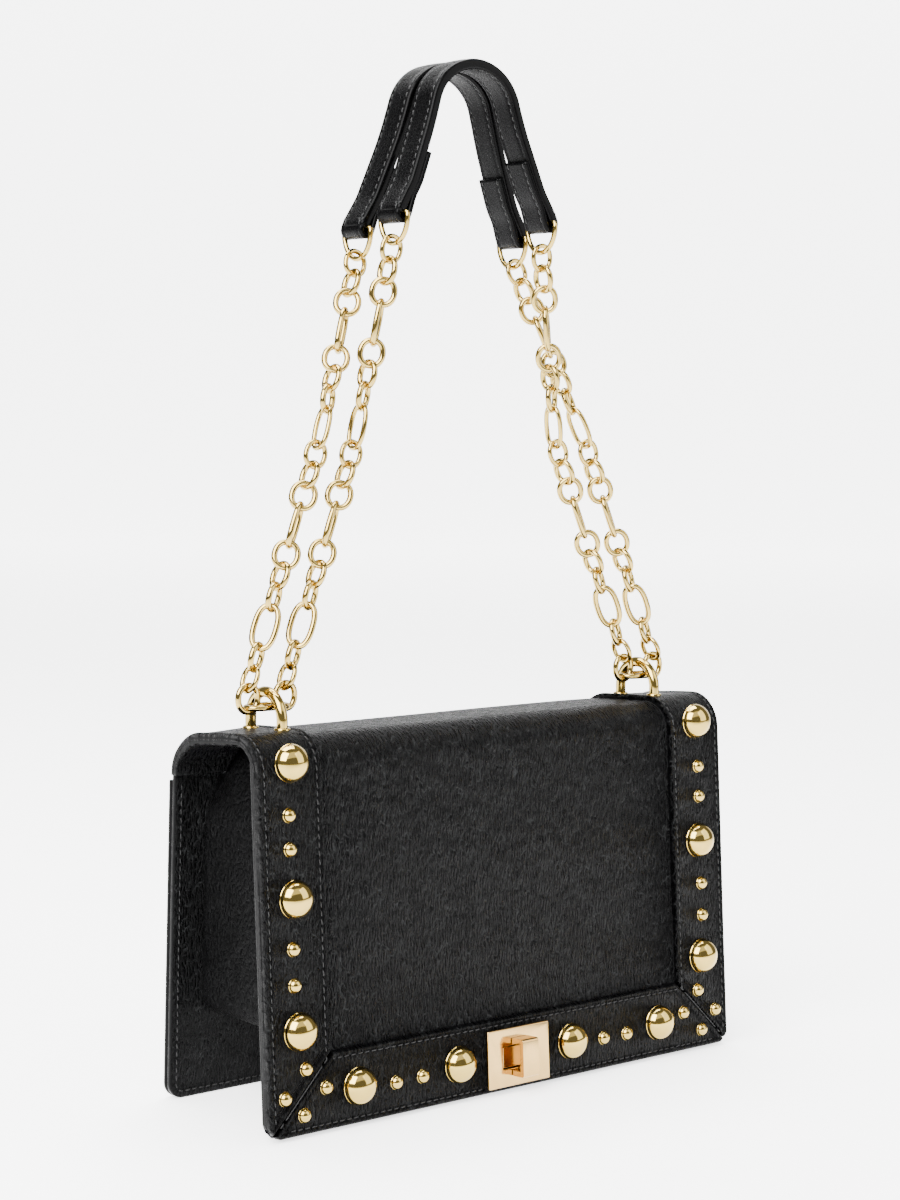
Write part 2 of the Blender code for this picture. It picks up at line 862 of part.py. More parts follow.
def pad_line(lane, bend):
    """Half of a pad's middle line as (point, normal, folded): up a leg, then round the crown.

    The leg is the outer tangent of a circle of radius bend round the ring's bar and of the crown.
    """
    span, low = pad_half_span(lane), bar_height(lane)
    crown = pad_apex_height() - pad_leather / 2 - pad_crown_radius
    apart = sqrt(span ** 2 + (crown - low) ** 2)
    lean = atan2(span, crown - low) - asin((pad_crown_radius - bend) / apart)
    normal = Vector((cos(lean), sin(lean)))
    foot = Vector((span, low)) + normal * bend
    shoulder = Vector((0, crown)) + normal * pad_crown_radius
    tab = foot + (shoulder - foot).normalized() * pad_tab_length
    line = [(foot, normal, True), (tab, normal, True), (tab, normal, False)]
    for i in range(pad_crown_steps // 2 + 1):
        turn = lean + (pi / 2 - lean) * i / (pad_crown_steps // 2)
        out = Vector((cos(turn), sin(turn)))
        line.append((Vector((0, crown)) + out * pad_crown_radius, out, False))
    return line, lean


def shoulder_pad(lane):
    """A strap bent into an arch, each end folded round its ring's bar and stitched back."""
    place = "rear" if lane > 0 else "front"
    bore = ring_wire_radius + 2 * bore_clearance
    loop = bore + pad_loop_leather
    half_leather = pad_leather / 2
    low, span = bar_height(lane), pad_half_span(lane)
    line, lean = pad_line(lane, loop - half_leather)
    fold = 2 * loop - half_leather
    outer = [point + normal * half_leather for point, normal, _ in line]
    inner = [point - normal * (fold if folded else half_leather) for point, normal, folded in line]
    foot = arc((span, low), loop, lean - pi, lean, loop_steps)[1:-1]
    half = list(reversed(inner)) + foot + outer[:2] + outer[3:]
    outline = half + [(-x, z) for x, z in reversed(half[1:-1])]
    holes = [circle(bore, (side * span, low), 8) for side in (-1, 1)]
    seat = frame_of(axis_x, axis_z, Vector((0, -1, 0)), Vector((0, pad_y(lane), 0)))
    mesh = slab_mesh([outline] + holes, pad_width, seat)
    add_piece(f"{place}_shoulder_pad", mesh, edge_paint)


# Assembly


def stand_on_origin():
    """Moves the whole bag so that the origin is the middle of its box's base."""
    bpy.context.view_layer.update()
    corners = []
    for piece in bag_pieces.objects:
        if piece.type == "MESH":
            corners += [piece.matrix_world @ Vector(corner) for corner in piece.bound_box]
    low = [min(corner[i] for corner in corners) for i in range(3)]
    high = [max(corner[i] for corner in corners) for i in range(3)]
    base.location = (-(low[0] + high[0]) / 2, -(low[1] + high[1]) / 2, -low[2])
    bpy.context.view_layer.update()


def hinge_points():
    """Where each joint's axis passes."""
    hinge_out = trim_out() + seat_gap
    height = flap_hinge_height - seat_gap / 2
    return {
        "flap_hinge": Vector((0, back_y(height, hinge_out), height)),
        "toggle_turn": at_lock(0).translation,
        "strap_swing": Vector((0, *chain_start(1, 1).yz)),
        "strap_bend": Vector((0, *middle_point(1, 1).yz)),
        "front_pad_tip": Vector((0, *ring_point(1, -1).yz)),
        "rear_pad_tip": Vector((0, *ring_point(1, 1).yz)),
    }


flap_panel()
for side in (-1, 1):
    side_trim(side)
bottom_trim()
large_studs()
body_panels()
gusset()
lining()
inner_pocket()
lock_pieces()
for side in (-1, 1):
    arch(side)
    arch_chain(side)
chain_runs()
for lane in (-1, 1):
    for side in (-1, 1):
        pad_ring(side, lane)
    shoulder_pad(lane)
stand_on_origin()
for name, point in hinge_points().items():
    print(name, [round(value, 6) for value in base.matrix_world @ point])
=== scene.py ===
from math import atan2, asin, cos, pi, radians, sin, sqrt, tan

import bmesh
import bpy
import numpy as np
from mathutils import Matrix, Vector


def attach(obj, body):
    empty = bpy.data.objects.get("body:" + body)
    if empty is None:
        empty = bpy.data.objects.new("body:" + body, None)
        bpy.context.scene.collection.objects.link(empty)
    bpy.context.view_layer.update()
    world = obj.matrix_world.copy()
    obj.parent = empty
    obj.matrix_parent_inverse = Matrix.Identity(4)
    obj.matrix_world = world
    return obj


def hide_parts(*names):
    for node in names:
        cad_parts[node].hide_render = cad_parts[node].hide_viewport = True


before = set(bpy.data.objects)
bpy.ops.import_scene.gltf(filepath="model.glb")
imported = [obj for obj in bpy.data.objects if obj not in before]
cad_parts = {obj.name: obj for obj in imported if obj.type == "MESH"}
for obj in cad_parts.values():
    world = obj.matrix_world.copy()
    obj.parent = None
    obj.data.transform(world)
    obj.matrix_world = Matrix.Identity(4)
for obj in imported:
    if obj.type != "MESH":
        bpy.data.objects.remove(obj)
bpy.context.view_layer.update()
print("frame loaded:", len(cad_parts), "nodes")

# The proportions that several pieces share, in metres. x is across, -y the front, z up.
bag = {
    "half": 0.135,
    "top": 0.167,
    "frontFloor": -0.036367,
    "backFloor": 0.045633,
    "frontLean": radians(4.0),
    "backLean": radians(1.6),
    "foot": 0.0010,
    "corner": 0.0070,
    "hingeHeight": 0.1455,
    "frontShoulder": 0.0140,
    "rearShoulder": 0.0190,
    "rearInset": 0.0052,
    "rearDrop": 0.0026,
    "endDrop": 0.0040,
    "dropAcross": (0.085, 0.135),
    "dropFrom": -0.012,
    "dropDepth": 0.055,
    "flapLeather": 0.0028,
    "trimLeather": 0.0018,
    "trimWidth": 0.0330,
    "seat": 0.0003,
    "lockHeight": 0.0164,
}
trimOut = bag["seat"] + bag["trimLeather"]


# Meshes worked out as whole arrays

def gridFaces(rows, columns, loop=False):
    # Quads between neighbouring rows and columns; loop also joins the last column to the first.
    across = columns if loop else columns - 1
    start = (np.arange(rows - 1)[:, None] * columns + np.arange(across)[None, :]).ravel()
    following = (np.arange(rows - 1)[:, None] * columns + (np.arange(across) + 1) % columns).ravel()
    return np.stack([start, following, following + columns, start + columns], 1).tolist()


def makeMesh(name, points, faces, coords=None, paint=None):
    mesh = bpy.data.meshes.new(name)
    mesh.from_pydata(np.asarray(points, float).reshape(-1, 3).tolist(), [], faces)
    if coords is not None:
        layer = mesh.uv_layers.new(name="lay")
        corners = np.empty(len(mesh.loops), np.int32)
        mesh.loops.foreach_get("vertex_index", corners)
        flat = np.asarray(coords, np.float32).reshape(-1, 2)[corners]
        layer.data.foreach_set("uv", flat.ravel())
    if paint is not None:
        toneLayer = mesh.attributes.new("paint", "FLOAT", "POINT")
        toneLayer.data.foreach_set("value", np.asarray(paint, np.float32).ravel())
    mesh.shade_smooth()
    return mesh


def facingOut(mesh):
    shell = bmesh.new()
    shell.from_mesh(mesh)
    bmesh.ops.recalc_face_normals(shell, faces=shell.faces)
    shell.to_mesh(mesh)
    shell.free()
    return mesh


def together(parts):
    # Parts are (points, faces, coords, paint); their faces are renumbered one after another.
    points, faces, coords, paint, start = [], [], [], [], 0
    for part in parts:
        place = np.asarray(part[0], float).reshape(-1, 3)
        points.append(place)
        faces += [[start + i for i in face] for face in part[1]]
        coords.append(np.asarray(part[2], float).reshape(-1, 2) if part[2] is not None
                      else np.zeros((len(place), 2)))
        paint.append(np.asarray(part[3], float).ravel() if part[3] is not None
                     else np.zeros(len(place)))
        start += len(place)
    return np.concatenate(points), faces, np.concatenate(coords), np.concatenate(paint)


def joined(name, parts, mapped=False):
    # One mesh of several parts, facing outwards; mapped keeps their coordinates and paint.
    whole = together(parts)
    return facingOut(makeMesh(name, *(whole if mapped else whole[:2])))


def moved(points, matrix):
    return points @ np.array(matrix)[:3, :3].T + np.array(matrix)[:3, 3]


def linked(name, data):
    made = bpy.data.objects.new(name, data)
    bpy.context.scene.collection.objects.link(made)
    return made


def addPiece(name, mesh, material, body, nodes=()):
    mesh.materials.clear()
    mesh.materials.append(material)
    piece = linked(name, mesh)
    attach(piece, body)
    if nodes:
        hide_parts(*nodes)
    return piece


def ripple(a, b, wave, seed):
    # Four crossed sine waves of uneven length and direction, about -1 to 1.
    total = 0
    for i in range(4):
        turn = seed * 1.7 + i * 2.4
        reach = 2 * pi / (wave * (1 + 0.37 * i))
        total = total + np.sin(reach * (a * cos(turn) + b * sin(turn)) + seed * 3.1 + i * 1.9)
    return total / 4


def smoothStep(value, low, high):
    # 0 below low, 1 above high and an S-shaped rise between.
    share = np.clip((np.asarray(value, float) - low) / (high - low), 0, 1)
    return share * share * (3 - 2 * share)


def roundedSection(halfWide, low, high, radius, inner):
    # A closed outline (across, height): flat faces with inner points each, joined by quarter rounds.
    corner, steps = [], 4
    centres = ((halfWide - radius, high - radius, 0), (radius - halfWide, high - radius, pi / 2),
               (radius - halfWide, low + radius, pi), (halfWide - radius, low + radius, 1.5 * pi))
    for i, (x, z, start) in enumerate(centres):
        turn = start + pi / 2 * np.arange(steps + 1) / steps
        corner.append(np.stack([x + radius * np.cos(turn), z + radius * np.sin(turn)], 1))
        after = centres[(i + 1) % 4]
        begin = corner[-1][-1]
        end = np.array([after[0] + radius * cos(after[2]), after[1] + radius * sin(after[2])])
        if i in (0, 2):
            share = np.arange(1, inner + 1)[:, None] / (inner + 1)
            corner.append(begin + (end - begin) * share)
    return np.concatenate(corner)


def sweepLoop(points, coords=None, paint=None):
    # points is rows x section x 3; the section closes on itself and both ends are filled.
    rows, count = points.shape[:2]
    faces = gridFaces(rows, count, loop=True)
    faces.append(list(range(count))[::-1])
    faces.append([(rows - 1) * count + i for i in range(count)])
    return points, faces, coords, paint


def ringsAlong(path, along, radius, across, sides):
    # A ring of points round each place of a flat path; across is square to the path's plane.
    along = along / np.linalg.norm(along, axis=1)[:, None]
    across = np.broadcast_to(np.asarray(across, float), path.shape)
    side = np.cross(along, across)
    turn = 2 * pi * np.arange(sides) / sides
    return path[:, None] + radius * (np.cos(turn)[None, :, None] * side[:, None]
                                     + np.sin(turn)[None, :, None] * across[:, None])


def closedTube(path, radius, across, sides):
    # A round wire whose path closes on itself.
    points = ringsAlong(path, np.roll(path, -1, 0) - np.roll(path, 1, 0), radius, across, sides)
    faces = gridFaces(len(path), sides, loop=True)
    last = (len(path) - 1) * sides
    faces += [[last + i, last + (i + 1) % sides, (i + 1) % sides, i] for i in range(sides)]
    return points, faces, None, None


def openTube(path, radius, across, sides):
    # A round wire with both ends filled.
    return sweepLoop(ringsAlong(path, np.gradient(path, axis=0), radius, across, sides))


def lathe(profile, sides, matrix):
    # (radius, height) from the top's middle to the base's rim, turned and closed by one face below.
    profile = np.asarray(profile, float)
    turn = 2 * pi * np.arange(sides) / sides
    ring = profile[1:]
    points = np.stack([ring[:, :1] * np.cos(turn), ring[:, :1] * np.sin(turn),
                       np.repeat(ring[:, 1:], sides, 1)], 2).reshape(-1, 3)
    points = np.concatenate([points, [[0, 0, profile[0, 1]]]])
    faces = [face[::-1] for face in gridFaces(len(ring), sides, loop=True)]
    top = len(points) - 1
    faces += [[top, i, (i + 1) % sides] for i in range(sides)]
    low = (len(ring) - 1) * sides
    faces.append([low + i for i in range(sides)][::-1])
    return moved(points, matrix), faces, None, None


# The leaning front and back, and the line of the flap over the top

def frontPlace(x, up, out):
    # A point by its distance across, up the leaning front and outwards from it.
    lean = bag["frontLean"]
    x, up, out = np.broadcast_arrays(np.asarray(x, float), up, out)
    return np.stack([x, bag["frontFloor"] + up * sin(lean) - out * cos(lean),
                     up * cos(lean) + out * sin(lean)], -1)


def backPlace(x, up, out):
    lean = bag["backLean"]
    x, up, out = np.broadcast_arrays(np.asarray(x, float), up, out)
    return np.stack([x, bag["backFloor"] - up * sin(lean) + out * cos(lean),
                     up * cos(lean) + out * sin(lean)], -1)


def frontMatrix(x, up, out):
    lean = bag["frontLean"]
    place = Vector(frontPlace(x, up, out))
    return Matrix(((1, 0, 0, place.x), (0, sin(lean), -cos(lean), place.y),
                   (0, cos(lean), sin(lean), place.z), (0, 0, 0, 1)))


def lockMatrix(out):
    return frontMatrix(0, bag["lockHeight"], out)


def roundCorner(before, corner, after, radius, steps):
    # An arc that touches both lines at a corner, walked from the first line to the second.
    before, corner, after = (np.array(p, float) for p in (before, corner, after))
    into = (before - corner) / np.linalg.norm(before - corner)
    away = (after - corner) / np.linalg.norm(after - corner)
    half = np.arccos(np.clip(into @ away, -1, 1)) / 2
    middle = into + away
    centre = corner + middle / np.linalg.norm(middle) * radius / sin(half)
    start = corner + into * radius / tan(half) - centre
    end = corner + away * radius / tan(half) - centre
    turn = np.arccos(np.clip(start @ end / radius ** 2, -1, 1))
    share = np.arange(steps + 1)[:, None] / steps
    arm = start * np.sin((1 - share) * turn) + end * np.sin(share * turn)
    return centre + arm / sin(turn)


def walkAlong(line):
    return np.concatenate([[0], np.cumsum(np.linalg.norm(np.diff(line, axis=0), axis=1))])


def makeFlapLine():
    # Dense (y, z) and outward normal of the flap's outer face, the length walked from the rear lip,
    # and the walk at which the flat front starts.
    top, low = bag["top"], bag["foot"] * cos(bag["frontLean"])
    backAt = lambda z: bag["backFloor"] - bag["rearInset"] - tan(bag["backLean"]) * z
    frontAt = lambda z: bag["frontFloor"] + tan(bag["frontLean"]) * z
    hinge, rearTop = bag["hingeHeight"], top - bag["rearDrop"]
    corners = [(backAt(hinge), hinge), (backAt(rearTop), rearTop), (frontAt(top), top), (frontAt(low), low)]
    rear = roundCorner(*corners[:3], bag["rearShoulder"], 20)
    front = roundCorner(*corners[1:], bag["frontShoulder"], 20)
    middle = rear[-1] + (front[0] - rear[-1]) * (np.arange(1, 30)[:, None] / 30)
    down = front[-1] + (np.array(corners[3]) - front[-1]) * (np.arange(1, 121)[:, None] / 120)
    lip = np.array(corners[0]) + (rear[0] - np.array(corners[0])) * (np.arange(6)[:, None] / 6)
    line = np.concatenate([lip, rear, middle, front, down])
    along = np.gradient(line, axis=0)
    along /= np.linalg.norm(along, axis=1)[:, None]
    normal = np.stack([along[:, 1], -along[:, 0]], 1)
    walked = walkAlong(line)
    return line, normal, walked, walked[len(line) - len(down) - 1]


flapLine, flapNormal, flapWalk, flatStart = makeFlapLine()
flapEnd = flapWalk[-1]


def alongFlap(x, walk, out):
    # A point of the flap by its distance across, its walk from the rear lip and its height off the leather.
    x, walk, out = np.broadcast_arrays(np.asarray(x, float), walk, out)
    y = np.interp(walk, flapWalk, flapLine[:, 0])
    z = np.interp(walk, flapWalk, flapLine[:, 1])
    ny = np.interp(walk, flapWalk, flapNormal[:, 0])
    nz = np.interp(walk, flapWalk, flapNormal[:, 1])
    size = np.hypot(ny, nz)
    # The top sinks a little towards its rear corners.
    rearward = np.clip((y - bag["dropFrom"]) / bag["dropDepth"], 0, 1)
    high = smoothStep(z, bag["hingeHeight"], bag["top"] - 0.002)
    drop = bag["endDrop"] * smoothStep(np.abs(x), *bag["dropAcross"]) * rearward ** 1.5 * high
    return np.stack([x, y + out * ny / size, z + out * nz / size - drop], -1)


# Materials, written with a small class that lets shader sockets be added and multiplied

def maths(tree, operation, first, second):
    node = tree.nodes.new("ShaderNodeMath")
    node.operation = operation
    connect(tree, first, node.inputs[0])
    connect(tree, second, node.inputs[1])
    return Shade(tree, node.outputs[0])


class Shade:
    def __init__(self, tree, socket):
        self.tree = tree
        self.socket = socket

    def __add__(self, other):
        return maths(self.tree, "ADD", self, other)

    def __radd__(self, other):
        return maths(self.tree, "ADD", other, self)

    def __sub__(self, other):
        return maths(self.tree, "SUBTRACT", self, other)

    def __rsub__(self, other):
        return maths(self.tree, "SUBTRACT", other, self)

    def __mul__(self, other):
        return maths(self.tree, "MULTIPLY", self, other)

    def __rmul__(self, other):
        return maths(self.tree, "MULTIPLY", other, self)

    def stepped(self, low, high):
        return makeNode(self.tree, "ShaderNodeMapRange", {"interpolation_type": "SMOOTHSTEP"},
                        Value=self, **{"From Min": low, "From Max": high}).out("Result")


class Made:
    def __init__(self, tree, node):
        self.tree = tree
        self.node = node

    def out(self, name):
        return Shade(self.tree, self.node.outputs[name])


def connect(tree, value, socket):
    if isinstance(value, Shade):
        tree.links.new(value.socket, socket)
    else:
        socket.default_value = value


def makeNode(tree, kind, settings=None, **values):
    node = tree.nodes.new(kind)
    for name, value in (settings or {}).items():
        setattr(node, name, value)
    for name, value in values.items():
        connect(tree, value, node.inputs[name.replace("_", " ")])
    return Made(tree, node)


def mixColour(tree, share, first, second):
    node = tree.nodes.new("ShaderNodeMix")
    node.data_type = "RGBA"
    connect(tree, share, node.inputs[0])
    for value, socket in ((first, node.inputs[6]), (second, node.inputs[7])):
        connect(tree, value if isinstance(value, Shade) else (*value, 1), socket)
    return Shade(tree, node.outputs[2])


def startMaterial(name):
    material = bpy.data.materials.new(name)
    material.use_nodes = True
    tree = material.node_tree
    tree.nodes.clear()
    shader = tree.nodes.new("ShaderNodeBsdfPrincipled")
    output = tree.nodes.new("ShaderNodeOutputMaterial")
    tree.links.new(shader.outputs[0], output.inputs[0])
    return material, tree, shader


def placed(tree, source, scale, turn=(0, 0, 0)):
    # Coordinates scaled in each direction, then turned.
    node = tree.nodes.new("ShaderNodeMapping")
    node.inputs["Scale"].default_value = scale
    node.inputs["Rotation"].default_value = turn
    tree.links.new(source.socket, node.inputs["Vector"])
    return Shade(tree, node.outputs[0])


def coordinates(tree, flat):
    if flat:
        return makeNode(tree, "ShaderNodeUVMap", {"uv_map": "lay"}).out("UV")
    return makeNode(tree, "ShaderNodeTexCoord").out("Object")


def noiseOf(tree, source, scale, detail=3.0):
    return makeNode(tree, "ShaderNodeTexNoise", {"noise_dimensions": "3D"}, Vector=source,
                    Scale=scale, Detail=detail, Roughness=0.55).out("Fac")


def bordersOf(tree, source, cells):
    return makeNode(tree, "ShaderNodeTexVoronoi", {"feature": "DISTANCE_TO_EDGE"},
                    Vector=source, Scale=cells).out("Distance")


def dressShader(tree, shader, colour, rough, height, strength, distance):
    # The three values that vary over a surface: colour, roughness and relief.
    raised = makeNode(tree, "ShaderNodeBump", None, Strength=strength, Distance=distance, Height=height)
    tree.links.new(raised.out("Normal").socket, shader.inputs["Normal"])
    tree.links.new(colour.socket, shader.inputs["Base Color"])
    tree.links.new(rough.socket, shader.inputs["Roughness"])


# What all three leathers share: noise scales per metre, and the widths of creases and of the painted
# highlight lines.
hide = {"bendScale": 90.0, "wanderScale": 150.0, "skinScale": 1400.0, "wideScale": 26.0,
        "fineCells": 2.3, "creaseWidth": 0.16, "highlightWidth": 0.085, "highlightPlaces": (0.4, 0.62)}


def leatherMaterial(name, look):
    # Pebbles are cells with sunken borders, drawn out along the hide, broken by finer creases, with painted
    # shade in the borders and a painted highlight, a light line, along some of them.
    material, tree, shader = startMaterial(name)
    source = coordinates(tree, look["flat"])
    bent = noiseOf(tree, source, hide["bendScale"], 2.0)
    swirl = makeNode(tree, "ShaderNodeTexNoise", {"noise_dimensions": "3D"}, Vector=source,
                     Scale=hide["wanderScale"], Detail=2.0).out("Color")
    offset = makeNode(tree, "ShaderNodeVectorMath", {"operation": "SCALE"}, Vector=swirl,
                      Scale=look["wander"]).out("Vector")
    shifted = makeNode(tree, "ShaderNodeVectorMath", {"operation": "ADD"})
    tree.links.new(source.socket, shifted.node.inputs[0])
    tree.links.new(offset.socket, shifted.node.inputs[1])
    stretched = placed(tree, shifted.out("Vector"), look["stretch"])
    border = bordersOf(tree, stretched, look["cells"])
    pebble = border.stepped(0.0, look["borderWidth"])
    crease = bordersOf(tree, stretched, look["cells"] * hide["fineCells"]).stepped(0.0, hide["creaseWidth"])
    skin = noiseOf(tree, source, hide["skinScale"])
    wide = noiseOf(tree, source, hide["wideScale"])
    painted = makeNode(tree, "ShaderNodeAttribute", {"attribute_name": "paint"}).out("Fac")
    depth = (1.0 - painted) * look["depth"] * (0.55 + bent * 0.9)
    height = (pebble * 0.62 + crease * 0.26 + skin * 0.12) * depth + wide * 0.35
    # Painted shade: the sunken pebble borders are coloured darker, mixed with a random tone from the wide
    # noise.
    toneLayer = mixColour(tree, pebble * 0.65 + wide * 0.35, look["borderShade"], look["colour"])
    # Painted highlight: a light line on some pebble borders stands in for the sheen that catches the grain.
    onSome = 0.3 + bent.stepped(*hide["highlightPlaces"]) * 0.7
    highlightLine = (1.0 - border.stepped(0.0, hide["highlightWidth"])) * onSome
    highlightedGrain = mixColour(tree, highlightLine, toneLayer, look["highlightLine"])
    edge = mixColour(tree, painted, highlightedGrain, look["edge"])
    rough = look["rough"] + (1.0 - pebble) * 0.16 + (wide - 0.5) * 0.14 - painted * look["edgeShine"]
    dressShader(tree, shader, edge, rough, height, look["strength"], look["distance"])
    shader.inputs["Specular IOR Level"].default_value = look["specular"]
    return material


def threadMaterial(name, colour):
    # A twisted thread: slanting bands under a fine fuzz.
    material, tree, shader = startMaterial(name)
    source = coordinates(tree, False)
    twist = makeNode(tree, "ShaderNodeTexWave", {"wave_type": "BANDS", "bands_direction": "DIAGONAL"},
                     Vector=source, Scale=900.0, Distortion=1.5).out("Fac")
    fuzz = noiseOf(tree, source, 2200.0)
    tinted = mixColour(tree, fuzz * 0.6 + twist * 0.4, [c * 0.6 for c in colour], colour)
    dressShader(tree, shader, tinted, 0.5 + fuzz * 0.2, twist * 0.7 + fuzz * 0.3, 0.6, 0.0002)
    return material


def clothMaterial(name):
    # A dark twill: bands turned to lie across every side of the lining.
    material, tree, shader = startMaterial(name)
    source = coordinates(tree, False)
    turned = placed(tree, source, (1, 1, 1), (0.0, radians(45), radians(45)))
    twill = makeNode(tree, "ShaderNodeTexWave", {"wave_type": "BANDS", "bands_direction": "X"},
                     Vector=turned, Scale=420.0, Distortion=0.6).out("Fac")
    fuzz = noiseOf(tree, source, 700.0)
    tinted = mixColour(tree, twill * 0.5 + fuzz * 0.5, (0.0012, 0.0012, 0.0012), (0.0040, 0.0038, 0.0036))
    dressShader(tree, shader, tinted, 0.82 + fuzz * 0.12, twill * 0.7 + fuzz * 0.3, 0.5, 0.0003)
    return material


def metalMaterial(name, look):
    # Plated metal: a nearly even colour, faint waves left by polishing and fine hairlines.
    material, tree, shader = startMaterial(name)
    source = coordinates(tree, False)
    cloud = noiseOf(tree, source, 140.0)
    line = noiseOf(tree, placed(tree, source, (900, 120, 120)), 1.0, 2.0)
    tinted = mixColour(tree, cloud, look["colour"], look["second"])
    rough = look["rough"] + cloud * look["cloudy"] + line.stepped(0.62, 0.8) * look["scratch"]
    dressShader(tree, shader, tinted, rough, cloud * 0.7 + line * 0.3, look["bump"], 0.0002)
    shader.inputs["Metallic"].default_value = 1.0
    return material


pebbledLeather = leatherMaterial("pebbledLeather", {
    "flat": True, "stretch": (1.9, 0.44, 1.0), "cells": 330.0, "borderWidth": 0.30, "wander": 0.0028,
    "depth": 1.0, "strength": 1.0, "distance": 0.0027, "colour": (0.0021, 0.0021, 0.0023),
    "highlightLine": (0.0150, 0.0157, 0.0160), "borderShade": (0.0001, 0.0001, 0.0001), "edge": (0.0007, 0.0007, 0.0008),
    "rough": 0.27, "edgeShine": 0.04, "specular": 0.052})
bodyLeather = leatherMaterial("bodyLeather", {
    "flat": False, "stretch": (1.0, 1.0, 0.7), "cells": 420.0, "borderWidth": 0.40, "wander": 0.0014,
    "depth": 0.85, "strength": 0.9, "distance": 0.0011, "colour": (0.0026, 0.0026, 0.0028),
    "highlightLine": (0.0050, 0.0050, 0.0052), "borderShade": (0.0002, 0.0002, 0.0002), "edge": (0.0007, 0.0007, 0.0008),
    "rough": 0.30, "edgeShine": 0.05, "specular": 0.042})
padLeather = leatherMaterial("padLeather", {
    "flat": False, "stretch": (1.0, 1.0, 1.0), "cells": 700.0, "borderWidth": 0.16, "wander": 0.0009,
    "depth": 0.45, "strength": 0.5, "distance": 0.00030, "colour": (0.0007, 0.0007, 0.0008),
    "highlightLine": (0.0007, 0.0007, 0.0008), "borderShade": (0.0002, 0.0002, 0.0002), "edge": (0.0006, 0.0006, 0.0006),
    "rough": 0.25, "edgeShine": 0.08, "specular": 0.05})
blackThread = threadMaterial("blackThread", (0.0015, 0.0015, 0.0016))
liningCloth = clothMaterial("liningCloth")
polishedGold = metalMaterial("polishedGold", {
    "colour": (0.49, 0.35, 0.095), "second": (0.40, 0.28, 0.070), "rough": 0.07, "cloudy": 0.05,
    "scratch": 0.05, "bump": 0.05})
chainGold = metalMaterial("chainGold", {
    "colour": (0.49, 0.35, 0.105), "second": (0.38, 0.265, 0.070), "rough": 0.07, "cloudy": 0.05,
    "scratch": 0.05, "bump": 0.05})
plateGold = metalMaterial("plateGold", {
    "colour": (0.52, 0.335, 0.125), "second": (0.45, 0.285, 0.100), "rough": 0.12, "cloudy": 0.07,
    "scratch": 0.08, "bump": 0.08})
print("materials ready")

# Stitches: a thread's short runs that lie in the groove, each end dipping into the leather

thread = {"pitch": 0.0036, "length": 0.0027, "radius": 0.00030, "tilt": 0.10, "sides": 6,
          "share": np.array([-1.0, -0.72, 0.0, 0.72, 1.0]), "thick": np.array([0.25, 0.85, 1.0, 0.85, 0.25]),
          "lift": np.array([-0.00030, 0.00002, 0.00012, 0.00002, -0.00030])}


def stitchRow(line, normals):
    # Stitches at even steps of a line: each is a short tapered run, a little askew, lying on the normal.
    line, normals = np.asarray(line, float), np.asarray(normals, float)
    normals = np.broadcast_to(normals, line.shape)
    walked = walkAlong(line)
    count = max(int(walked[-1] / thread["pitch"]), 1)
    middle = (np.arange(count) + 0.5) * walked[-1] / count
    pick = lambda at, values: np.stack([np.interp(at, walked, values[:, i]) for i in range(3)], 1)
    centre, before, after = pick(middle, line), pick(middle - 0.001, line), pick(middle + 0.001, line)
    normal = pick(middle, normals)
    normal /= np.linalg.norm(normal, axis=1)[:, None]
    along = after - before
    along /= np.linalg.norm(along, axis=1)[:, None]
    side = np.cross(normal, along)
    thick = thread["thick"] * thread["radius"]
    turn = 2 * pi * np.arange(thread["sides"]) / thread["sides"]
    run = thread["share"] * thread["length"] / 2
    sway = run * thread["tilt"]
    local = np.stack([np.repeat(run, thread["sides"]),
                      (sway[:, None] + thick[:, None] * np.cos(turn)).ravel(),
                      (thread["lift"][:, None] + thick[:, None] * np.sin(turn)).ravel()], 1)
    points = (centre[:, None] + local[None, :, :1] * along[:, None]
              + local[None, :, 1:2] * side[:, None] + local[None, :, 2:] * normal[:, None])
    one = sweepLoop(local.reshape(len(run), thread["sides"], 3))[1]
    faces = [[k * len(local) + i for i in face] for k in range(count) for face in one]
    return points.reshape(-1, 3), faces, None, None


def cutBox(mesh, size, matrix):
    # A mesh with a box taken out of it.
    shell = bmesh.new()
    bmesh.ops.create_cube(shell, size=1)
    bmesh.ops.scale(shell, vec=size, verts=shell.verts)
    cutter = bpy.data.meshes.new("cutter")
    shell.to_mesh(cutter)
    shell.free()
    cutter.transform(matrix)
    target, tool = linked("target", mesh), linked("tool", cutter)
    step = target.modifiers.new("window", "BOOLEAN")
    step.operation = "DIFFERENCE"
    step.solver = "EXACT"
    step.object = tool
    bpy.context.view_layer.update()
    made = bpy.data.meshes.new_from_object(target.evaluated_get(bpy.context.evaluated_depsgraph_get()))
    for helper in (target, tool):
        bpy.data.objects.remove(helper, do_unlink=True)
    made.shade_smooth()
    return made


# Flap: one leather panel over the top and down the front

flap = {"edge": 0.0008, "cushion": 0.0007, "unevenness": 0.00022, "window": (0.0192, 0.0106, 0.014),
        "cushionAcross": (0.070, 0.104), "cushionUp": (0.034, 0.060), "cushionFades": (0.140, 0.165),
        "painted": 0.0006}


def footAt(x):
    # How far up the front the flap's edge lies, rounded at the lower corners.
    past = np.clip(np.abs(x) - (bag["half"] - bag["corner"]), 0, bag["corner"])
    return bag["foot"] + bag["corner"] - np.sqrt(bag["corner"] ** 2 - past ** 2)


def flapRows(foot):
    # Walks from the rear lip to the foot, one column for each place across.
    over = np.linspace(0, flatStart, 64)[:, None] + 0 * foot[None, :]
    end = flapEnd - (foot - bag["foot"])
    share = 1 - (1 - np.linspace(0, 1, 80)[1:]) ** 1.25
    down = flatStart + (end[None, :] - flatStart) * share[:, None]
    return np.concatenate([over, down])


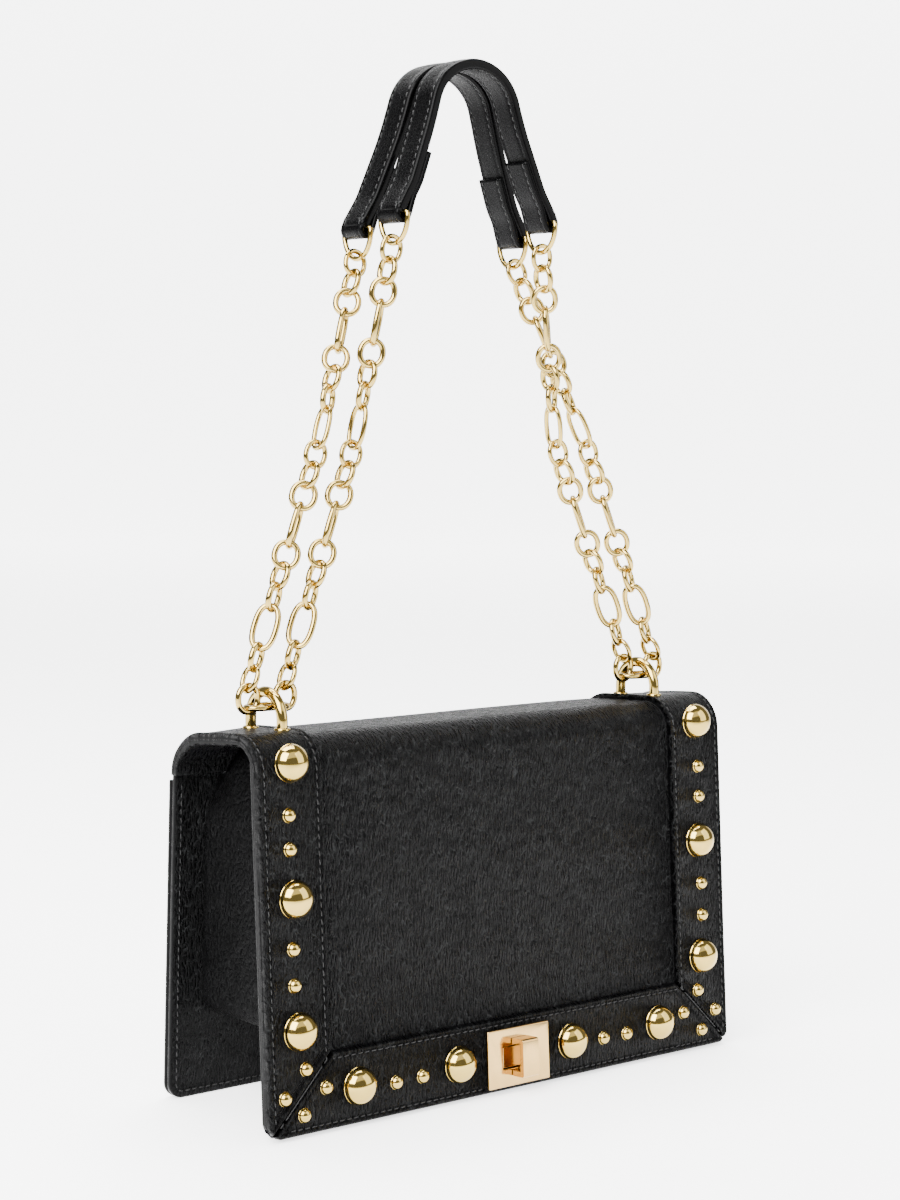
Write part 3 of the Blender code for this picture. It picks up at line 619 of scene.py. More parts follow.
def makeFlap():
    # A rounded flat section carried along the flap's line, softly cushioned inside the frame.
    section = roundedSection(bag["half"], -bag["flapLeather"], 0.0, flap["edge"], 88)
    x, height = section[:, 0], section[:, 1]
    walk = flapRows(footAt(x))
    up = flapEnd - walk + bag["foot"]
    inside = (1 - smoothStep(np.abs(x), *flap["cushionAcross"])) * smoothStep(up, *flap["cushionUp"])
    over = 1 - smoothStep(up, *flap["cushionFades"]) * 0.6
    lift = flap["cushion"] * inside * over + flap["unevenness"] * ripple(x, walk, 0.085, 1.0) * inside
    points = alongFlap(x, walk, height + lift)
    nearEdge = np.clip((np.abs(x) - bag["half"] + flap["painted"]) / flap["painted"], 0, 1)
    paint = np.broadcast_to(nearEdge, walk.shape)
    coords = np.stack(np.broadcast_arrays(x, walk), -1)
    mesh = joined("flapLeather", [sweepLoop(points, coords, paint)], True)
    return cutBox(mesh, flap["window"], lockMatrix(0))


addPiece("flapLeather", makeFlap(), pebbledLeather, "flap", ["flap_panel"])
print("flap made")

# Flap frame: three folded strips with mitred corners, a roll along each edge and a seam inside it

trim = {"round": 0.0011, "roll": 0.00042, "rollAt": 0.0014, "groove": 0.00034, "grooveAt": 0.0030,
        "grooveWide": 0.00055, "rollWide": 0.0010, "gap": 0.00022, "under": 0.0002, "painted": 0.0009,
        "slant": 1.414, "tail": 0.0062, "ripple": 0.00010, "rippleWave": 0.050, "threadLift": 0.00016,
        "plateHalf": 0.019}
# Places counted in from an edge, and from a mitred end, close together where the leather rolls over.
edgeSteps = np.array([0, 0.04, 0.12, 0.25, 0.42, 0.62, 0.85, 1.1, 1.4, 1.7, 2.0, 2.25, 2.5, 2.75,
                      3.0, 3.25, 3.5, 3.8, 4.2]) / 1000
mitreSteps = np.array([4.4, 4.0, 3.7, 3.45, 3.2, 2.95, 2.7, 2.4, 2.0, 1.6, 1.2, 0.85, 0.6, 0.4, 0.22,
                       0.1, 0.03, 0])[:, None] / 1000


def trimHeight(inward):
    # Rounded at the edge, a raised roll, then the groove that the thread pulls down.
    share = np.clip(inward / trim["round"], 0, 1)
    rise = np.sqrt(np.clip(1 - (1 - share) ** 2, 0, 1))
    roll = trim["roll"] * np.exp(-((inward - trim["rollAt"]) / trim["rollWide"]) ** 2)
    groove = trim["groove"] * np.exp(-((inward - trim["grooveAt"]) / trim["grooveWide"]) ** 2)
    return -trim["under"] + (trimOut + trim["under"]) * rise + (roll - groove) * share


def trimAcross():
    # Places across the strip, close together at both edges, then back along its underside.
    middle = np.linspace(0.0048, bag["trimWidth"] - 0.0048, 24)
    top = np.concatenate([edgeSteps, middle, bag["trimWidth"] - edgeSteps[::-1]])
    below = np.linspace(bag["trimWidth"], 0, 8)
    return np.concatenate([top, below]), np.arange(len(top) + len(below)) < len(top)


def mitreFoot(x):
    # Where a side strip ends: on the corner's diagonal, or on the flap's rounded edge if that is higher.
    line = bag["foot"] + (bag["half"] - np.abs(x))
    return np.maximum(line, footAt(x)) + trim["gap"]


def trimRelief(x, along, across, onTop, toEnd, seed):
    # Height and edge paint from the distance to the nearest edge, the slanting end included.
    inward = np.minimum(np.minimum(across, bag["trimWidth"] - across), toEnd / trim["slant"])
    height = np.where(onTop, trimHeight(inward), -trim["under"])
    uneven = onTop * trim["ripple"] * ripple(x, along, trim["rippleWave"], seed)
    paint = np.where(onTop, 1 - smoothStep(inward, 0.0, trim["painted"]), 1.0)
    return height + uneven, paint


def makeSideTrim(side):
    # The strip's section walked from the rear lip, over the top and down to the mitre.
    across, onTop = trimAcross()
    x = side * (bag["half"] - across)
    end = flapEnd - (mitreFoot(x) - bag["foot"])
    over = np.linspace(0, flatStart, 76)[:, None] + 0 * x
    down = flatStart + (end - trim["tail"] - flatStart) * np.linspace(0, 1, 90)[1:, None]
    walk = np.concatenate([over, down, end - trim["slant"] * mitreSteps])
    height, paint = trimRelief(x, walk, across, onTop, end - walk, 3.0 + side)
    coords = np.stack(np.broadcast_arrays(x, walk), -1)
    return joined("trim", [sweepLoop(alongFlap(x, walk, height), coords, paint)], True)


def makeBottomTrim():
    # The same section walked across the foot of the flap from one mitre to the other.
    across, onTop = trimAcross()
    up = bag["foot"] + across
    low = np.clip(bag["foot"] + bag["corner"] - up, 0, bag["corner"])
    arcEnd = bag["half"] - bag["corner"] + np.sqrt(bag["corner"] ** 2 - low ** 2)
    end = np.minimum(bag["half"] - across, arcEnd) - trim["gap"]
    right = end - trim["slant"] * mitreSteps
    middle = (end - trim["tail"]) * np.linspace(-1, 1, 130)[1:-1, None]
    x = np.concatenate([-right[::-1], middle, right])
    height, paint = trimRelief(x, up, across, onTop, end - np.abs(x), 5.0)
    coords = np.stack(np.broadcast_arrays(x, flapEnd - up), -1)
    mesh = joined("trim", [sweepLoop(frontPlace(x, up, height), coords, paint)], True)
    return cutBox(mesh, flap["window"], lockMatrix(0))


for side, word in ((-1, "left"), (1, "right")):
    addPiece(f"{word}FlapTrim", makeSideTrim(side), pebbledLeather, "flap",
             [f"flap_trim_{word}"])
addPiece("bottomFlapTrim", makeBottomTrim(), pebbledLeather, "flap", ["flap_trim_bottom"])


def trimStitches():
    # Down both edges of each side strip, across each mitre on both of its sides, and along the bottom.
    seam, width, half, foot = trim["grooveAt"], bag["trimWidth"], bag["half"], bag["foot"]
    slant, plateHalf = trim["slant"], trim["plateHalf"]
    rows = []
    sunk = float(trimHeight(np.array(seam))) + trim["threadLift"]
    normal = [0, -cos(bag["frontLean"]), sin(bag["frontLean"])]
    for side in (-1, 1):
        for inset, short in ((seam, seam * 1.2), (width - seam, -seam * 0.4)):
            x = side * (half - inset)
            stop = flapEnd - (inset + short)
            walk = np.linspace(0.004, stop, 240)
            line = alongFlap(x, walk, sunk)
            rows.append(stitchRow(line, alongFlap(x, walk, sunk + 0.001) - line))
        reach = np.linspace(0.007, width - 0.004, 30)
        for shift in (-1, 1):
            x = side * (half - reach - shift * seam / slant)
            up = foot + reach - shift * seam / slant + shift * seam * slant
            rows.append(stitchRow(frontPlace(x, up, sunk), normal))
    for inset, short in ((seam, seam * 2.4), (width - seam, seam * 0.6)):
        x = np.linspace(-(half - inset - short), half - inset - short, 200)
        # The lower row stops at the lock's plate.
        for part in (x[x < -plateHalf], x[x > plateHalf]) if inset == seam else (x,):
            rows.append(stitchRow(frontPlace(part, foot + inset, sunk), normal))
    return joined("stitches", rows)


addPiece("flapFrameStitches", trimStitches(), blackThread, "flap")
print("flap frame made")

# Domed studs: polished caps over a thin rim, large ones with small ones between them

stud = {"large": (0.00825, 0.0070, 0.0007), "small": (0.0032, 0.0030, 0.0004),  # radius, height, rim
        "largeSeat": 0.0001, "smallSeat": -0.0003, "largeInset": 0.0165, "smallInset": 0.0150,
        "largeHeights": (0.0450, 0.1005, 0.1575), "smallHeights": (0.0645, 0.0797, 0.1215, 0.1358),
        "largeRow": ((0.0886, 0.0173), (0.0332, 0.0173)), "smallRow": ((0.0682, 0.0153), (0.0536, 0.0155)),
        "corners": ((0.0194, 0.0288), (0.0082, 0.0180), (0.0295, 0.0195), (0.0177, 0.0096))}


def makeDomes(places, shape, seat, steps, sides):
    # A profile from the crown out to the rim and down to the leather, turned at each place.
    radius, height, rim = shape
    turn = pi / 2 * np.arange(steps + 1) / steps
    dome = np.stack([(radius - 0.00016) * np.sin(turn) ** 0.97, rim + (height - rim) * np.cos(turn)], 1)
    base = [[radius - 0.00005, rim * 0.92], [radius, rim * 0.7], [radius, 0.0002], [radius - 0.0002, 0]]
    profile = np.concatenate([dome, base])
    return [lathe(profile, sides, frontMatrix(side * x, up, trimOut + seat))
            for side in (-1, 1) for x, up in places]


largePlaces = [(bag["half"] - stud["largeInset"], up) for up in stud["largeHeights"]]
largePlaces += stud["largeRow"]
largeParts = makeDomes(largePlaces, stud["large"], stud["largeSeat"], 18, 56)
smallPlaces = [(bag["half"] - stud["smallInset"], up) for up in stud["smallHeights"]]
smallPlaces += [(bag["half"] - inset, up) for inset, up in stud["corners"]]
smallPlaces += stud["smallRow"]
smallParts = makeDomes(smallPlaces, stud["small"], stud["smallSeat"], 10, 28)
largeNodes = [f"large_stud_{word}_{i}" for word in ("left", "right") for i in range(1, 6)]
addPiece("largeStuds", joined("largeStuds", largeParts), polishedGold, "flap", largeNodes)
addPiece("smallStuds", joined("smallStuds", smallParts), polishedGold, "flap")
print("studs made")

# Turn lock: the plate, both backings and the rivet are the part's own shapes with their corners eased,
# and the base and the bridge on its stem are made here

def eased(piece, width, angle=40):
    ease = piece.modifiers.new("eased", "BEVEL")
    ease.width = width
    ease.segments = 3
    ease.limit_method = "ANGLE"
    ease.angle_limit = radians(angle)
    ease.harden_normals = True


def easedCopy(node, name, material, body, width):
    # The part's own solid, its flat faces made whole again before the corners are eased.
    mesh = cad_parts[node].data.copy()
    mesh.name = name
    shell = bmesh.new()
    shell.from_mesh(mesh)
    bmesh.ops.remove_doubles(shell, verts=shell.verts, dist=0.00001)
    bmesh.ops.dissolve_limit(shell, angle_limit=radians(1.0), verts=shell.verts, edges=shell.edges)
    shell.to_mesh(mesh)
    shell.free()
    mesh.shade_smooth()
    eased(addPiece(name, facingOut(mesh), material, body, [node]), width, 24)


easedCopy("lock_plate", "lockPlate", plateGold, "flap", 0.00035)
easedCopy("lock_backing", "lockBacking", plateGold, "flap", 0.00015)
easedCopy("toggle_base_backing", "toggleBaseBacking", plateGold, "bag_body", 0.00015)
easedCopy("toggle_rivet", "toggleRivet", polishedGold, "toggle", 0.00020)

lock = {"plateFront": trimOut + bag["seat"] + 0.0022, "frontOut": -0.0054, "recess": 0.0010,
        "window": (0.0176, 0.0090), "flange": (0.0292, 0.0106, 0.0009), "length": 0.0170,
        "width": 0.0092, "reach": 0.0080, "slab": 0.0023, "leg": 0.0026, "footGap": 0.0004,
        "stem": 0.0022, "stemEnd": -0.0098, "corner": 0.0012, "post": (0.0016, 0.0104)}


def blockPart(outline, depth, matrix):
    # A flat outline (x, y) given a depth about its own plane.
    outline = np.asarray(outline, float)
    count = len(outline)
    points = np.concatenate([np.insert(outline, 2, -depth / 2, 1), np.insert(outline, 2, depth / 2, 1)])
    faces = [list(range(count))[::-1], [count + i for i in range(count)]]
    faces += [[i, (i + 1) % count, count + (i + 1) % count, count + i] for i in range(count)]
    return moved(points, matrix), faces, None, None


def boxPart(size, out):
    # A box (across, tall, deep) with its middle on the lock's axis.
    wide, tall = size[0] / 2, size[1] / 2
    outline = [(-wide, -tall), (wide, -tall), (wide, tall), (-wide, tall)]
    return blockPart(outline, size[2], lockMatrix(out))


def makeToggleBase():
    # A flange under the flap's leather and the block that fills the window.
    bottom = lock["frontOut"] + bag["seat"]
    top = lock["plateFront"] - lock["recess"]
    flange = boxPart(lock["flange"], bottom + lock["flange"][2] / 2)
    low = bottom + lock["flange"][2] + 0.00002
    block = boxPart((*lock["window"], top - low), (top + low) / 2)
    return joined("toggleBase", [flange, block])


def makeToggle():
    # A bridge over the window, its corners rounded towards the hand, on a stem that is round in the
    # base and narrows to a thin post in the window.
    half, reach, foot = lock["length"] / 2, lock["reach"], lock["footGap"]
    turn = np.linspace(0, pi / 2, 5)
    bend = lock["corner"] * np.stack([np.cos(turn), np.sin(turn)], 1)
    corner = np.array([half - lock["corner"], reach - lock["corner"]]) + bend
    right = np.concatenate([[(half, foot)], corner])
    inner = [(half - lock["leg"], foot), (half - lock["leg"], reach - lock["slab"])]
    outline = np.concatenate([right, (right * [-1, 1])[::-1], np.array(inner) * [-1, 1], inner[::-1]])
    turned = Matrix(((0, 0, 1, 0), (1, 0, 0, 0), (0, 1, 0, 0), (0, 0, 0, 1)))
    bridge = blockPart(outline, lock["width"], lockMatrix(lock["plateFront"]) @ turned)
    length = lock["plateFront"] + reach - lock["slab"] - lock["stemEnd"] + 0.0003
    low = lock["plateFront"] - lock["recess"] - 0.0006 - lock["stemEnd"]
    profile = [(0, low), (lock["stem"], low), (lock["stem"], 0.0002), (lock["stem"] - 0.0002, 0)]
    stem = lathe(profile, 40, lockMatrix(lock["stemEnd"]))
    post = boxPart((*lock["post"], length - low + 0.0002), lock["stemEnd"] + (length + low) / 2)
    return joined("toggle", [bridge, stem, post])


base = addPiece("toggleBase", makeToggleBase(), plateGold, "bag_body", ["toggle_base"])
eased(base, 0.0002)
toggle = addPiece("turnToggle", makeToggle(), plateGold, "toggle", ["turn_toggle"])
eased(toggle, 0.00025)
print("lock made")

# Strap arches: stout wires bent over, each leg in a small collar on the trim

arch = {"x": 0.1095, "y": 0.002633, "span": 0.0116, "wire": 0.0024, "height": 0.0165,
        "collar": 0.0035, "collarHeight": 0.0010, "sunk": 0.0024}
archFoot = bag["top"] + trimOut + bag["seat"]
archCrown = archFoot + arch["height"] - arch["wire"]


def topHeight(x, y):
    # How high the trims' outer face lies over the flap's top.
    walk = np.linspace(flapWalk[12], flatStart, 200)
    surface = alongFlap(x, walk, trimOut)
    order = np.argsort(surface[:, 1])
    return float(np.interp(y, surface[order, 1], surface[order, 2]))


def makeArch(side):
    # A half circle of wire on two straight legs, with a turned collar round each.
    spring = archCrown - arch["span"]
    turn = np.linspace(pi, 0, 33)
    bow = np.stack([arch["y"] + arch["span"] * np.cos(turn), spring + arch["span"] * np.sin(turn)], 1)
    down = np.linspace(archFoot - arch["sunk"], spring, 6)[:-1]
    first = np.stack([np.full(5, arch["y"] - arch["span"]), down], 1)
    last = np.stack([np.full(5, arch["y"] + arch["span"]), down[::-1]], 1)
    line = np.concatenate([first, bow, last])
    path = np.insert(line, 0, side * arch["x"], 1)
    parts = [openTube(path, arch["wire"], (1, 0, 0), 20)]
    high, wide = arch["collarHeight"], arch["collar"]
    profile = [(0, high), (wide * 0.80, high), (wide * 0.94, high * 0.9), (wide, high * 0.6),
               (wide, -arch["sunk"])]
    for y in (-1, 1):
        near = topHeight(arch["x"], arch["y"] + y * arch["span"])
        place = Matrix.Translation((side * arch["x"], arch["y"] + y * arch["span"], near - 0.0001))
        parts.append(lathe(profile, 32, place))
    return joined("arch", parts)


for side, word in ((-1, "left"), (1, "right")):
    addPiece(f"{word}StrapArch", makeArch(side), polishedGold, "flap", [f"strap_arch_{word}"])

# Chain: round wire links, each turned a quarter from the one before and swaying to and fro along the
# run. The links beside a joint hang square and are slimmer, so that the strap can bend there.

link = {"L": {"length": 0.0214, "wide": 0.0048, "power": 0.80},
        "s": {"length": 0.0134, "wide": 0.0050, "power": 0.92}}
chain = {"wire": 0.00108, "archWide": 0.0124, "bite": 0.0005, "stout": 0.00134, "slim": 0.00112,
         "gap": 0.0004, "lower": "ssLsssLsss", "upper": "LsssLsss", "twist": radians(45),
         "bendIn": 0.0410, "bend": (0.008927, 0.289636), "start": (0.002633, 0.186785),
         "frontRing": (0.0430, 0.002633, 0.379771), "rearRing": (0.0455, 0.025633, 0.373737)}


def linkSpan(kind):
    return link[kind]["length"] - 2 * chain["wire"]


def makeLink(kind, centre, along, aside, wire=chain["stout"]):
    # An oval between an ellipse and a stadium: the sides run nearly straight on a long link.
    turn = 2 * pi * np.arange(44) / 44
    bent = lambda wave: np.sign(wave) * np.abs(wave) ** link[kind]["power"]
    far = link[kind]["length"] / 2 - chain["wire"]
    path = (np.array(centre) + far * bent(np.cos(turn))[:, None] * np.array(along)
            + link[kind]["wide"] * bent(np.sin(turn))[:, None] * np.array(aside))
    return closedTube(path, wire, np.cross(along, aside), 12)


def makeRun(pattern, start, end, first):
    # first counts the links of the lane before this run, so that the sway goes on through the joint.
    start, end = Vector(start), Vector(end)
    along = (end - start).normalized()
    aside = (Vector((1, 0, 0)) - along * along.x).normalized()
    across = along.cross(aside)
    wire = 2 * chain["wire"]
    place = -(wire + chain["gap"])
    parts = []
    for i, kind in enumerate(pattern):
        centre = start + along * (place + linkSpan(kind) / 2)
        place += linkSpan(kind) - wire + chain["bite"]
        atEnd = i in (0, len(pattern) - 1)
        turned = 0 if atEnd else chain["twist"] * cos(pi * (first + i - 2) / 4)
        facing = Matrix.Rotation(turned, 3, along) @ (aside if i % 2 else across)
        parts.append(makeLink(kind, centre, along, facing, chain["slim"] if atEnd else chain["stout"]))
    return joined("run", parts)


def makeArchLinks(side):
    # A long link lies through the arch, just under its bow, and two short links hang in its ends.
    inside = arch["span"] - arch["wire"] - bag["seat"]
    low = archCrown - arch["span"] + sqrt(inside ** 2 - (chain["archWide"] / 2) ** 2) - chain["wire"]
    parts = [makeLink("L", (side * arch["x"], arch["y"], low), (1, 0, 0), (0, 1, 0))]
    for lane in (-1, 1):
        x = side * (arch["x"] + lane * linkSpan("L") / 2)
        top = chain["start"][1]
        parts.append(makeLink("s", (x, arch["y"], top - linkSpan("s") / 2), (0, 0, 1), (1, 0, 0)))
    return joined("archLinks", parts)


for side, word in ((-1, "left"), (1, "right")):
    addPiece(f"{word}ArchLinks", makeArchLinks(side), chainGold, "flap", [f"arch_links_{word}"])
    for lane, place, ring in ((-1, "inner", chain["frontRing"]), (1, "outer", chain["rearRing"])):
        start = (side * (arch["x"] + lane * linkSpan("L") / 2), *chain["start"])
        bend = (start[0] - side * chain["bendIn"], *chain["bend"])
        addPiece(f"{word}{place.title()}LowerChain", makeRun(chain["lower"], start, bend, 0), chainGold,
                 "strap_lower", [f"chain_lower_{word}_{place}"])
        end = (side * ring[0], ring[1], ring[2])
        addPiece(f"{word}{place.title()}UpperChain", makeRun(chain["upper"], bend, end, 10), chainGold,
                 "strap_upper", [f"chain_upper_{word}_{place}"])
print("chain made")

# Shoulder pads: thick straps bent into an arch, each end folded round its ring's bar and stitched back

pad = {"width": 0.0156, "leather": 0.0042, "rise": 0.0765, "crown": 0.0260, "tab": 0.0300,
       "loop": 0.0022, "ringWire": 0.0012, "ringWidth": 0.0192, "ringDepth": 0.0128,
       "ringGap": 0.0008, "clear": 0.0003, "round": 0.0010, "seam": 0.0026, "seamWide": 0.00045,
       "seamDeep": 0.00028, "dome": 0.00035, "tabDome": 0.00012, "flare": 0.0024,
       "flareIn": (0.001, 0.016), "flareOut": (0.035, 0.072), "close": 0.0027, "tabOpens": 0.0015,
       "swells": (0.0012, 0.0052), "roll": 0.00022, "rollAt": 0.0013, "rollWide": 0.0007,
       "edgeRound": 0.0009, "painted": (0.0003, 0.0014)}
barLift = pad["ringDepth"] - (chain["wire"] + pad["ringWire"] + pad["ringGap"])
frontBar = chain["frontRing"][2] + barLift
rearBar = chain["rearRing"][2] + barLift
padApex = rearBar + pad["rise"]


def makeRing(x, y, bar):
    # A wire bent to a deep bow that the chain hangs in, closed by the straight bar in the pad's fold.
    turn = np.linspace(0, pi, 33)
    half, depth, ease = pad["ringWidth"] / 2, pad["ringDepth"], 0.0016
    bow = np.stack([half * np.cos(turn), -depth * np.sin(turn) ** 0.9], 1)
    straight = np.stack([np.linspace(-half + ease, half - ease, 12), np.full(12, ease * 0.35)], 1)
    line = np.concatenate([bow, straight])
    path = np.stack([np.full(len(line), x), y + line[:, 0], bar + line[:, 1]], 1)
    return joined("ring", [closedTube(path, pad["ringWire"], (1, 0, 0), 12)])


def padLine(span, bar):
    # Half of the strap's middle line as (x, z) with its outward normal: up the leg, round the crown.
    bend = pad["ringWire"] + 2 * pad["clear"] + pad["loop"] - pad["leather"] / 2
    crown = padApex - pad["leather"] / 2 - pad["crown"]
    lean = atan2(span, crown - bar) - asin((pad["crown"] - bend) / sqrt(span ** 2 + (crown - bar) ** 2))
    normal = np.array([cos(lean), sin(lean)])
    foot = np.array([span, bar]) + normal * bend
    shoulder = np.array([0, crown]) + normal * pad["crown"]
    leg = foot + (shoulder - foot) * np.linspace(0, 1, 34)[:-1, None]
    turn = np.linspace(lean, pi / 2, 24)
    arcNormal = np.stack([np.cos(turn), np.sin(turn)], 1)
    arcLine = np.array([0, crown]) + pad["crown"] * arcNormal
    line = np.concatenate([leg, arcLine])
    high = line[:, 1] - bar
    drawn = smoothStep(high, *pad["flareIn"]) * (1 - smoothStep(high, *pad["flareOut"]))
    line[:, 0] -= pad["flare"] * drawn
    along = np.gradient(line, axis=0)
    normals = np.stack([along[:, 1], -along[:, 0]], 1)
    normals /= np.linalg.norm(normals, axis=1)[:, None]
    normals[0], normals[-1] = normal, (0, 1)
    return line, normals, lean


def strapSection(wide, low, high, dome):
    # A flat strap whose faces swell between the seams, with a low roll along each edge.
    section = roundedSection(wide / 2, low, high, pad["round"], 22)
    across, height = section[:, 0], section[:, 1]
    face = np.sign(height - (low + high) / 2)
    inward = wide / 2 - np.abs(across)
    roll = pad["roll"] * np.exp(-((inward - pad["rollAt"]) / pad["rollWide"]) ** 2)
    puff = dome * smoothStep(inward, *pad["swells"]) + roll
    sunk = pad["seamDeep"] * np.exp(-((inward - pad["seam"]) / pad["seamWide"]) ** 2)
    raised = face * (puff - sunk) * smoothStep(inward, 0.0, pad["edgeRound"])
    return np.stack([across, height + raised], 1)


def drawnIn(y, z, bar):
    # The two straps lean together towards their crowns.
    middle = (chain["frontRing"][1] + chain["rearRing"][1]) / 2
    return y + np.sign(middle - y) * pad["close"] * smoothStep(z - bar, 0.0, 0.060)


def sweepStrap(line, normals, section, y, side, bar):
    # A section carried along a line in (x, z), its height along the line's normals.
    across, height = section[:, 0], section[:, 1]
    x = side * (line[:, 0][:, None] + normals[:, 0][:, None] * height)
    z = line[:, 1][:, None] + normals[:, 1][:, None] * height
    points = np.stack([x, drawnIn(y, z, bar) + across, z], -1)
    paint = 1 - smoothStep(pad["width"] / 2 - np.abs(across), *pad["painted"])
    return sweepLoop(points, None, np.broadcast_to(paint, x.shape))


def makePad(span, y, bar):
    # The arch, then a thin tab at each end that goes round the bar and lies against the leg.
    line, normals, lean = padLine(span, bar)
    half = pad["leather"] / 2
    whole = np.concatenate([line * [-1, 1], line[-2::-1]])
    wholeNormals = np.concatenate([normals * [-1, 1], normals[-2::-1]])
    parts = [sweepStrap(whole, wholeNormals, strapSection(pad["width"], -half, half, pad["dome"]), y, 1, bar)]
    radius = pad["ringWire"] + 2 * pad["clear"] + pad["loop"] / 2
    layer = pad["loop"] / 2
    turn = np.linspace(lean, lean - pi, 22)
    bowNormal = np.stack([np.cos(turn), np.sin(turn)], 1)
    bow = np.array([span, bar]) + radius * bowNormal
    rise = np.array([-normals[0, 1], normals[0, 0]])
    length = pad["tab"] * np.linspace(0, 1, 24)[1:, None]
    tight = bow[-1] + rise * length
    innerFace = tight + normals[0] * pad["tabOpens"] * smoothStep(length, 0.002, 0.011)
    # The tab follows the leg's own curve: its distance from a straight leg is added.
    (footX, footZ), reach = line[0], pad["tab"]
    follow = np.interp(innerFace[:, 1], line[:, 1], line[:, 0])
    straight = np.interp(innerFace[:, 1], [footZ, footZ + reach], [footX, footX + rise[0] / rise[1] * reach])
    innerFace[:, 0] += follow - straight
    tab = np.concatenate([bow[0] + rise * np.array([[0.004], [0.002]]), bow, innerFace])
    tabNormals = np.concatenate([np.repeat(bowNormal[:1], 2, 0), bowNormal,
                                 np.repeat(bowNormal[-1:], len(innerFace), 0)])
    section = strapSection(pad["width"] - 0.0002, -layer, layer, pad["tabDome"])
    for side in (-1, 1):
        parts.append(sweepStrap(tab, tabNormals, section, y, side, bar))
    mesh = joined("pad", parts, True)

    def seamAt(path, outward, height, shift):
        place = shift * (pad["width"] / 2 - pad["seam"])
        points = np.stack([path[:, 0] + outward[:, 0] * height, place + drawnIn(y, path[:, 1], bar),
                           path[:, 1] + outward[:, 1] * height], 1)
        return stitchRow(points, np.sign(height) * np.insert(outward, 1, 0, 1))

    # Each seam shows all along the outer face, on the inner face between the tabs, and on both tabs.
    rows = []
    up = half + pad["dome"] * 0.35 - 0.00020
    for shift in (-1, 1):
        rows.append(seamAt(whole, wholeNormals, up, shift))
        rows.append(seamAt(whole[24:-24], wholeNormals[24:-24], -up, shift))
        for side in (-1, 1):
            flip = np.array([side, 1])
            rows.append(seamAt(innerFace * flip, tabNormals[-len(innerFace):] * flip, layer - 0.0001, shift))
    return mesh, joined("padStitches", rows)


for place, ring, bar in (("front", chain["frontRing"], frontBar), ("rear", chain["rearRing"], rearBar)):
    for side, word in ((-1, "left"), (1, "right")):
        addPiece(f"{place}{word.title()}Ring", makeRing(side * ring[0], ring[1], bar), polishedGold,
                 f"{place}_pad", [f"{place}_pad_ring_{word}"])
    mesh, stitches = makePad(ring[0], ring[1], bar)
    strap = addPiece(f"{place}ShoulderPad", mesh, padLeather, f"{place}_pad", [f"{place}_shoulder_pad"])
    addPiece(f"{place}PadStitches", stitches, blackThread, f"{place}_pad")
print("shoulder pads made")

# Body panels: stiff plates with rounded lower corners, painted edges and a seam round each

panel = {"half": 0.1320, "leather": 0.0030, "pocket": 0.0024, "standoff": 0.0026, "topDrop": 0.0090,
         "pocketDrop": 0.0030, "round": 0.0009, "seam": 0.0032, "groove": 0.00022, "grooveWide": 0.0005,
         "window": (0.0050, 0.0050, 0.010), "narrows": (0.09, 0.132), "ripple": 0.00012,
         "rippleWave": 0.07, "painted": (0.0002, 0.0012), "stitchSunk": 0.00005}
frontOut = -(bag["flapLeather"] + panel["standoff"])


def makePlate(place, low, high, foot, head):
    # Rows go up the plate; each row is a closed section whose width follows the rounded corner.
    up = foot + bag["corner"] * (1 - np.cos(np.linspace(0, pi / 2, 12)))
    up = np.concatenate([up, np.linspace(foot + bag["corner"], head - 0.004, 60)[1:],
                         head - np.array([0.003, 0.002, 0.0012, 0.0006, 0.0002, 0.0])])
    rise = np.clip(foot + bag["corner"] - up, 0, bag["corner"])
    half = panel["half"] - bag["corner"] + np.sqrt(bag["corner"] ** 2 - rise ** 2)
    section = roundedSection(panel["half"], low, high, panel["round"], 60)
    across, height = section[:, 0], section[:, 1]
    out = np.abs(across)
    x = np.sign(across) * (out - (panel["half"] - half[:, None]) * smoothStep(out, *panel["narrows"]))
    middle = (low + high) / 2
    ends = np.minimum(up - foot, head - up)[:, None]
    edge = np.minimum(half[:, None] - np.abs(x), ends)
    thin = 1 - 0.35 * (1 - np.clip(ends / panel["round"], 0, 1)) ** 2
    face = np.sign(height - middle)
    groove = panel["groove"] * np.exp(-((edge - panel["seam"]) / panel["grooveWide"]) ** 2)
    uneven = panel["ripple"] * ripple(x, up[:, None], panel["rippleWave"], 7.0)
    level = middle + (height - middle) * thin - face * groove + uneven
    paint = 1 - smoothStep(edge, *panel["painted"])
    coords = np.stack(np.broadcast_arrays(x, up[:, None]), -1)
    return joined("plate", [sweepLoop(place(x, up[:, None], level), coords, paint)], True)


def edgeSeam(place, out, face, foot, head):
    # A line inside the plate's edge: down one side, round both lower corners and up the other.
    inset = panel["seam"]
    half, corner = panel["half"] - inset, bag["corner"] - inset
    turn = np.linspace(pi, 1.5 * pi, 12)
    low = foot + bag["corner"]
    left = np.stack([-half + corner + corner * np.cos(turn), low + corner * np.sin(turn)], 1)
    down = np.stack([np.full(60, -half), np.linspace(head - 0.004, low, 60)], 1)
    right = left[::-1] * [-1, 1]
    base = np.stack([np.linspace(left[-1, 0], right[0, 0], 90)[1:-1], np.full(88, foot + inset)], 1)
    line = np.concatenate([down, left[1:], base, right, down[::-1][1:] * [-1, 1]])
    out = out - face * panel["stitchSunk"]
    flat = place(line[:, 0], line[:, 1], out)
    normal = place(line[:, 0], line[:, 1], out + face * 0.001) - flat
    return stitchRow(flat, normal / 0.001)


